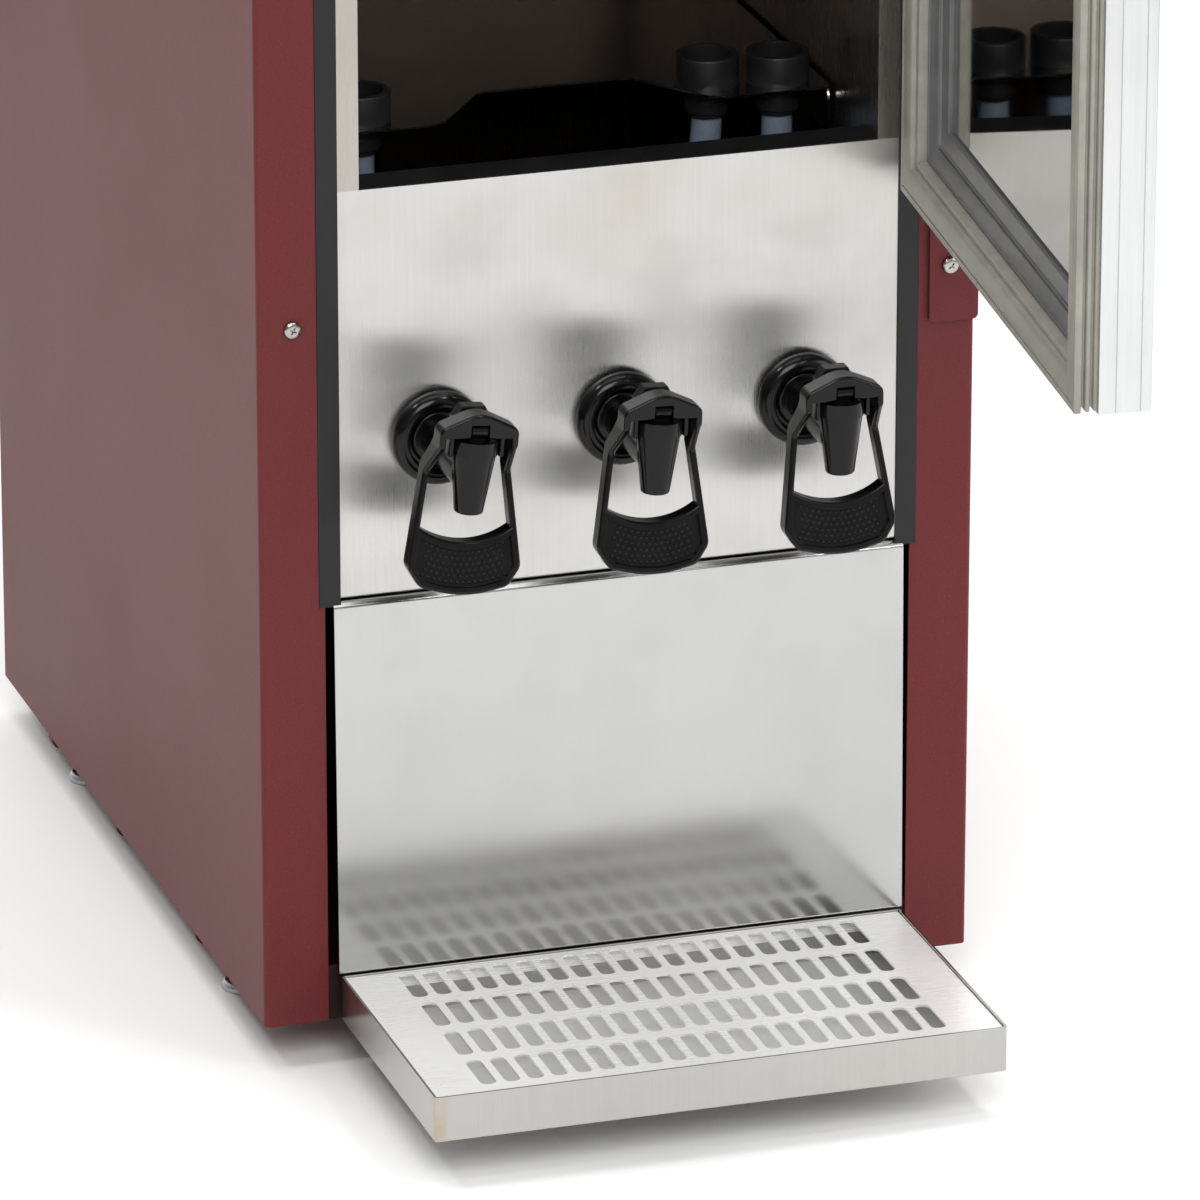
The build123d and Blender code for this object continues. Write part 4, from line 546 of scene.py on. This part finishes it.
def recess_bar():
    """Verts and faces of one bar of the cross recess along x, narrower at its floor."""
    top, low = RECESS_CUT_TOP, HEAD_HEIGHT - RECESS_DEPTH
    x, y = RECESS_REACH / 2, RECESS_WIDTH / 2
    floor_x, floor_y = RECESS_REACH / 5, y * RECESS_FLOOR_WIDTH
    verts = [(-x, -y, top), (x, -y, top), (x, y, top), (-x, y, top),
             (-floor_x, -floor_y, low), (floor_x, -floor_y, low), (floor_x, floor_y, low),
             (-floor_x, floor_y, low)]
    faces = [(0, 1, 2, 3), (7, 6, 5, 4), (0, 4, 5, 1), (1, 5, 6, 2), (2, 6, 7, 3), (3, 7, 4, 0)]
    return verts, faces


def screw_mesh():
    """Head and shank of one screw, its seat at z = 0 and its head towards +z."""
    profile = [(radius * mm, height * mm) for radius, height in SCREW_PROFILE]
    head = new_object("screw_head", new_mesh("screw_head", *lathe(profile, SCREW_SIDES)))
    for quarter in (0.0, 90.0):
        bar = new_object("recess_bar", new_mesh("recess_bar", *recess_bar()))
        bar.data.transform(Matrix.Rotation(radians(quarter + RECESS_TURN), 4, "Z"))
        cut = head.modifiers.new("cut", "BOOLEAN")
        cut.operation = "DIFFERENCE"
        cut.object = bar
        bpy.context.view_layer.update()
        graph = bpy.context.evaluated_depsgraph_get()
        carved = bpy.data.meshes.new_from_object(head.evaluated_get(graph))
        head.modifiers.clear()
        head.data = carved
        bpy.data.objects.remove(bar)
    mesh = head.data
    bpy.data.objects.remove(head)
    return mesh


def make_screws():
    """All case screws in one piece, each at the place of its CAD solid."""
    one = screw_mesh()
    verts, faces = [], []
    for index, (low, high) in enumerate(islands("case_screws")):
        middle = (low + high) / 2
        forward = middle.y < FRONT.y + FRONT_ZONE
        seat = low.y + HEAD_HEIGHT if forward else high.y - HEAD_HEIGHT
        tip = Matrix.Rotation(radians(90.0 if forward else -90.0), 4, "X")
        place = (Matrix.Translation((middle.x, seat, middle.z)) @ tip
                 @ Matrix.Rotation(radians(SCREW_TURN_STEP * index), 4, "Z"))
        start = len(verts)
        verts += [place @ vertex.co for vertex in one.vertices]
        faces += [tuple(start + i for i in polygon.vertices) for polygon in one.polygons]
    add_piece("screws", verts, faces, "screw", "cabinet", ["case_screws"])


make_screws()


# Small domes in rows on each lever's pad
PAD_BELOW_PIN = 86.6 * mm       # lever's lower tip under the pin
PAD_FLOOR_BACK = 13.0 * mm      # pad's floor behind the pin's plane, at the kink
PAD_KINK = 25.0 * mm            # kink under the pin
PAD_LEAN = radians(11.5)
PAD_HALF_WIDTH = 22.6 * mm
PAD_TAPER = 0.45 * mm           # narrower by this for each row up
PAD_LOW_EDGE = 5.9 * mm         # lowest row above the tip, at the middle
PAD_LOW_RADIUS = 60.0 * mm
PAD_TOP_EDGE = 20.6 * mm
PAD_TOP_RADIUS = 42.5 * mm
DOME_ROWS = 6
DOME_COLUMNS = 7                # at most, to each side of the middle
DOME_PITCH = 3.1 * mm
DOME_RADIUS = 1.05 * mm
DOME_RISE = 0.55 * mm
DOME_SINK = 0.1 * mm            # foot of a dome inside the pad
DOME_RINGS = (1.0, 0.80, 0.45)  # shares of the radius, from the foot up
DOME_SIDES = 8


def pad_domes(side):
    """Domes of one lever, laid between the pad's curved lower and upper edges."""
    joint = joints[f"tap_{side}"]
    across = Vector(joint["axis"]).normalized()
    up = Vector((-across.z, 0.0, across.x))
    pin = Vector(joint["pos_m"])
    out = Vector((0.0, -cos(PAD_LEAN), 0.0)) + up * -sin(PAD_LEAN)
    ride_up = out.cross(across).normalized()
    if ride_up.dot(up) < 0:
        ride_up = -ride_up
    verts, faces = [], []
    sides = DOME_SIDES
    for row in range(DOME_ROWS):
        for column in range(-DOME_COLUMNS, DOME_COLUMNS + 1):
            x = column * DOME_PITCH + (DOME_PITCH / 2 if row % 2 else 0.0)
            if abs(x) > PAD_HALF_WIDTH - row * PAD_TAPER:
                continue
            low = PAD_LOW_EDGE + x * x / (2 * PAD_LOW_RADIUS)
            top = PAD_TOP_EDGE + PAD_TOP_RADIUS - sqrt(PAD_TOP_RADIUS ** 2 - x * x)
            height = low + (top - low) * row / (DOME_ROWS - 1) - PAD_BELOW_PIN
            depth = PAD_FLOOR_BACK + (PAD_KINK + height) * tan(PAD_LEAN)
            centre = pin + across * x + up * height + Vector((0.0, depth, 0.0))
            start = len(verts)
            for share in DOME_RINGS:
                lift = DOME_RISE * sqrt(1.0 - share * share) - (DOME_SINK if share == 1.0 else 0.0)
                verts += [centre + out * lift
                          + (across * cos(tau * k / sides)
                             + ride_up * sin(tau * k / sides)) * DOME_RADIUS * share
                          for k in range(sides)]
            verts.append(centre + out * DOME_RISE)
            for k in range(sides):
                after = (k + 1) % sides
                for lower in (start, start + sides):
                    upper = lower + sides
                    faces.append((lower + k, lower + after, upper + after, upper + k))
                last = start + 2 * sides
                faces.append((last + k, last + after, last + sides))
            faces.append(tuple(start + k for k in reversed(range(sides))))
    add_piece(f"pad_domes_{side}", verts, faces, "pad", f"lever_{side}", (), DOME_CREASE)


for side in TAP_SIDES:
    pad_domes(side)


# Tubes: smooth runs from the connectors to the taps' shanks
TUBE_RADIUS = 8.0 * mm
TUBE_FIRST_DROP = 0.2           # share of the drop that runs straight down
TUBE_BENDS = ((0.2, 0.45, 6.0), (0.6, 0.75, 20.0), (0.95, 0.97, 14.0))  # across, down, mm back
TUBE_LAST_RUN = 4 * mm
TUBE_STEPS = 10                 # between two corner points
TUBE_SIDES = 24


def tube_route(side):
    """Corner points of one tube's route."""
    low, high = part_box(f"connector_{side}")
    x, y, bottom = (low.x + high.x) / 2, (low.y + high.y) / 2, low.z
    collar_low, collar_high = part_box(f"tap_collar_{side}")
    tap_x, tap_z = (collar_low.x + collar_high.x) / 2, (collar_low.z + collar_high.z) / 2
    shank_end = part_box(f"tap_body_{side}")[1].y
    drop = bottom - tap_z
    bends = [(x + across * (tap_x - x), y + back * mm, bottom - down * drop)
             for across, down, back in TUBE_BENDS]
    corner_points = [(x, y, bottom), (x, y, bottom - TUBE_FIRST_DROP * drop), *bends,
                     (tap_x, (y + shank_end) / 2 + TUBE_LAST_RUN, tap_z),
                     (tap_x, shank_end, tap_z)]
    return [Vector(point) for point in corner_points]


def smooth_route(points):
    """Quadratic spline that touches the middle of each inner run and both ends."""
    line = [points[0]]
    for i in range(1, len(points) - 1):
        start = points[0] if i == 1 else (points[i - 1] + points[i]) / 2
        end = points[-1] if i == len(points) - 2 else (points[i] + points[i + 1]) / 2
        for k in range(1, TUBE_STEPS + 1):
            share = k / TUBE_STEPS
            rest = 1 - share
            line.append(start * rest ** 2 + points[i] * 2 * share * rest + end * share * share)
    return line


def make_tube(side):
    """One tube swept along its route."""
    sides = TUBE_SIDES
    line = smooth_route(tube_route(side))
    across = Vector((1.0, 0.0, 0.0))
    verts, faces = [], []
    for i, spot in enumerate(line):
        heading = (line[min(i + 1, len(line) - 1)] - line[max(i - 1, 0)]).normalized()
        across = (across - heading * across.dot(heading)).normalized()
        other = heading.cross(across)
        verts += [spot + (across * cos(tau * k / sides)
                          + other * sin(tau * k / sides)) * TUBE_RADIUS
                  for k in range(sides)]
    for lower in range(0, len(verts) - sides, sides):
        upper = lower + sides
        for k in range(sides):
            after = (k + 1) % sides
            faces.append((lower + k, lower + after, upper + after, upper + k))
    faces += [tuple(reversed(range(sides))), tuple(len(verts) - sides + k for k in range(sides))]
    add_piece(f"hose_{side}", verts, faces, "tube", "cabinet", [f"tube_{side}"])


for side in TAP_SIDES:
    make_tube(side)


# Camera, floor and lights
FLOOR_REACH = 9.0
LIGHT_AIM = (0.0, 0.2, 0.35)    # from FRONT
WORLD_STRENGTH = 0.62
# Axis, where the change starts and ends, the strength's share before and after it
WORLD_RAMPS = (("X", -0.85, -0.15, 0.31, 1.0),      # dimmer to the left
               ("Y", 0.05, 0.55, 1.0, 1.75))        # brighter behind the cabinet


def make_camera():
    """Camera at the photograph's place, angle and framing."""
    data = bpy.data.cameras.new("camera")
    data.sensor_width = SENSOR
    data.lens = VIEW_LENS
    data.clip_end = 50.0
    camera = new_object("camera", data)
    turn = (Matrix.Rotation(radians(VIEW_YAW), 4, "Z")
            @ Matrix.Rotation(radians(90 - VIEW_PITCH), 4, "X")
            @ Matrix.Rotation(radians(VIEW_ROLL), 4, "Z"))
    camera.matrix_world = Matrix.Translation(FRONT + Vector(VIEW_PLACE)) @ turn
    bpy.context.scene.camera = camera


def make_floor():
    """Plain pale floor."""
    mesh = bpy.data.meshes.new("floor")
    reach = FLOOR_REACH
    corner_points = [(-reach, -reach, 0), (reach, -reach, 0), (reach, reach, 0), (-reach, reach, 0)]
    mesh.from_pydata(corner_points, [], [(0, 1, 2, 3)])
    floor = new_object("floor", mesh)
    finish = Finish("floor", PALE_FLOOR, 0.7)
    finish.bump((finish.noise(MOTTLE, 3.0), 0.0002))
    mesh.materials.append(finish.material)


def softbox(name, place, size, power):
    """Area light, its place from FRONT, aimed at the cabinet's front."""
    data = bpy.data.lights.new(name, "AREA")
    data.shape = "RECTANGLE"
    data.size, data.size_y = size
    data.energy = power
    light = new_object(name, data)
    light.location = FRONT + Vector(place)
    aim = Vector(LIGHT_AIM) - Vector(place)
    light.rotation_euler = aim.to_track_quat("-Z", "Y").to_euler()


def make_world():
    """Pale surroundings, dimmer to the left and brighter behind the cabinet."""
    world = bpy.data.worlds.new("studio")
    world.use_nodes = True
    tree = world.node_tree
    background = tree.nodes["Background"]
    background.inputs["Color"].default_value = (1.0, 1.0, 1.0, 1.0)
    heading = tree.nodes.new("ShaderNodeTexCoord")
    parts = tree.nodes.new("ShaderNodeSeparateXYZ")
    tree.links.new(heading.outputs["Generated"], parts.inputs[0])
    level = None
    for axis, *values in WORLD_RAMPS:
        ramp = tree.nodes.new("ShaderNodeMapRange")
        tree.links.new(parts.outputs[axis], ramp.inputs[0])
        for index, value in enumerate(values, 1):
            ramp.inputs[index].default_value = value
        product = tree.nodes.new("ShaderNodeMath")
        product.operation = "MULTIPLY"
        tree.links.new(ramp.outputs[0], product.inputs[0])
        if level is None:
            product.inputs[1].default_value = WORLD_STRENGTH
        else:
            tree.links.new(level, product.inputs[1])
        level = product.outputs[0]
    tree.links.new(level, background.inputs["Strength"])
    bpy.context.scene.world = world


make_camera()
make_floor()
make_world()
softbox("key", (-0.9, -3.3, 2.9), (2.0, 2.0), 90.0)
softbox("fill", (2.8, -2.2, 2.0), (1.8, 2.2), 36.0)
softbox("overhead", (0.0, 0.4, 3.2), (2.6, 2.2), 44.0)
softbox("left_glint", (-1.6, -0.1, 2.7), (0.35, 0.35), 12.0)
softbox("top_glint", (0.9, -1.3, 2.7), (0.3, 0.3), 10.0)
bpy.context.scene.view_settings.view_transform = "Standard"
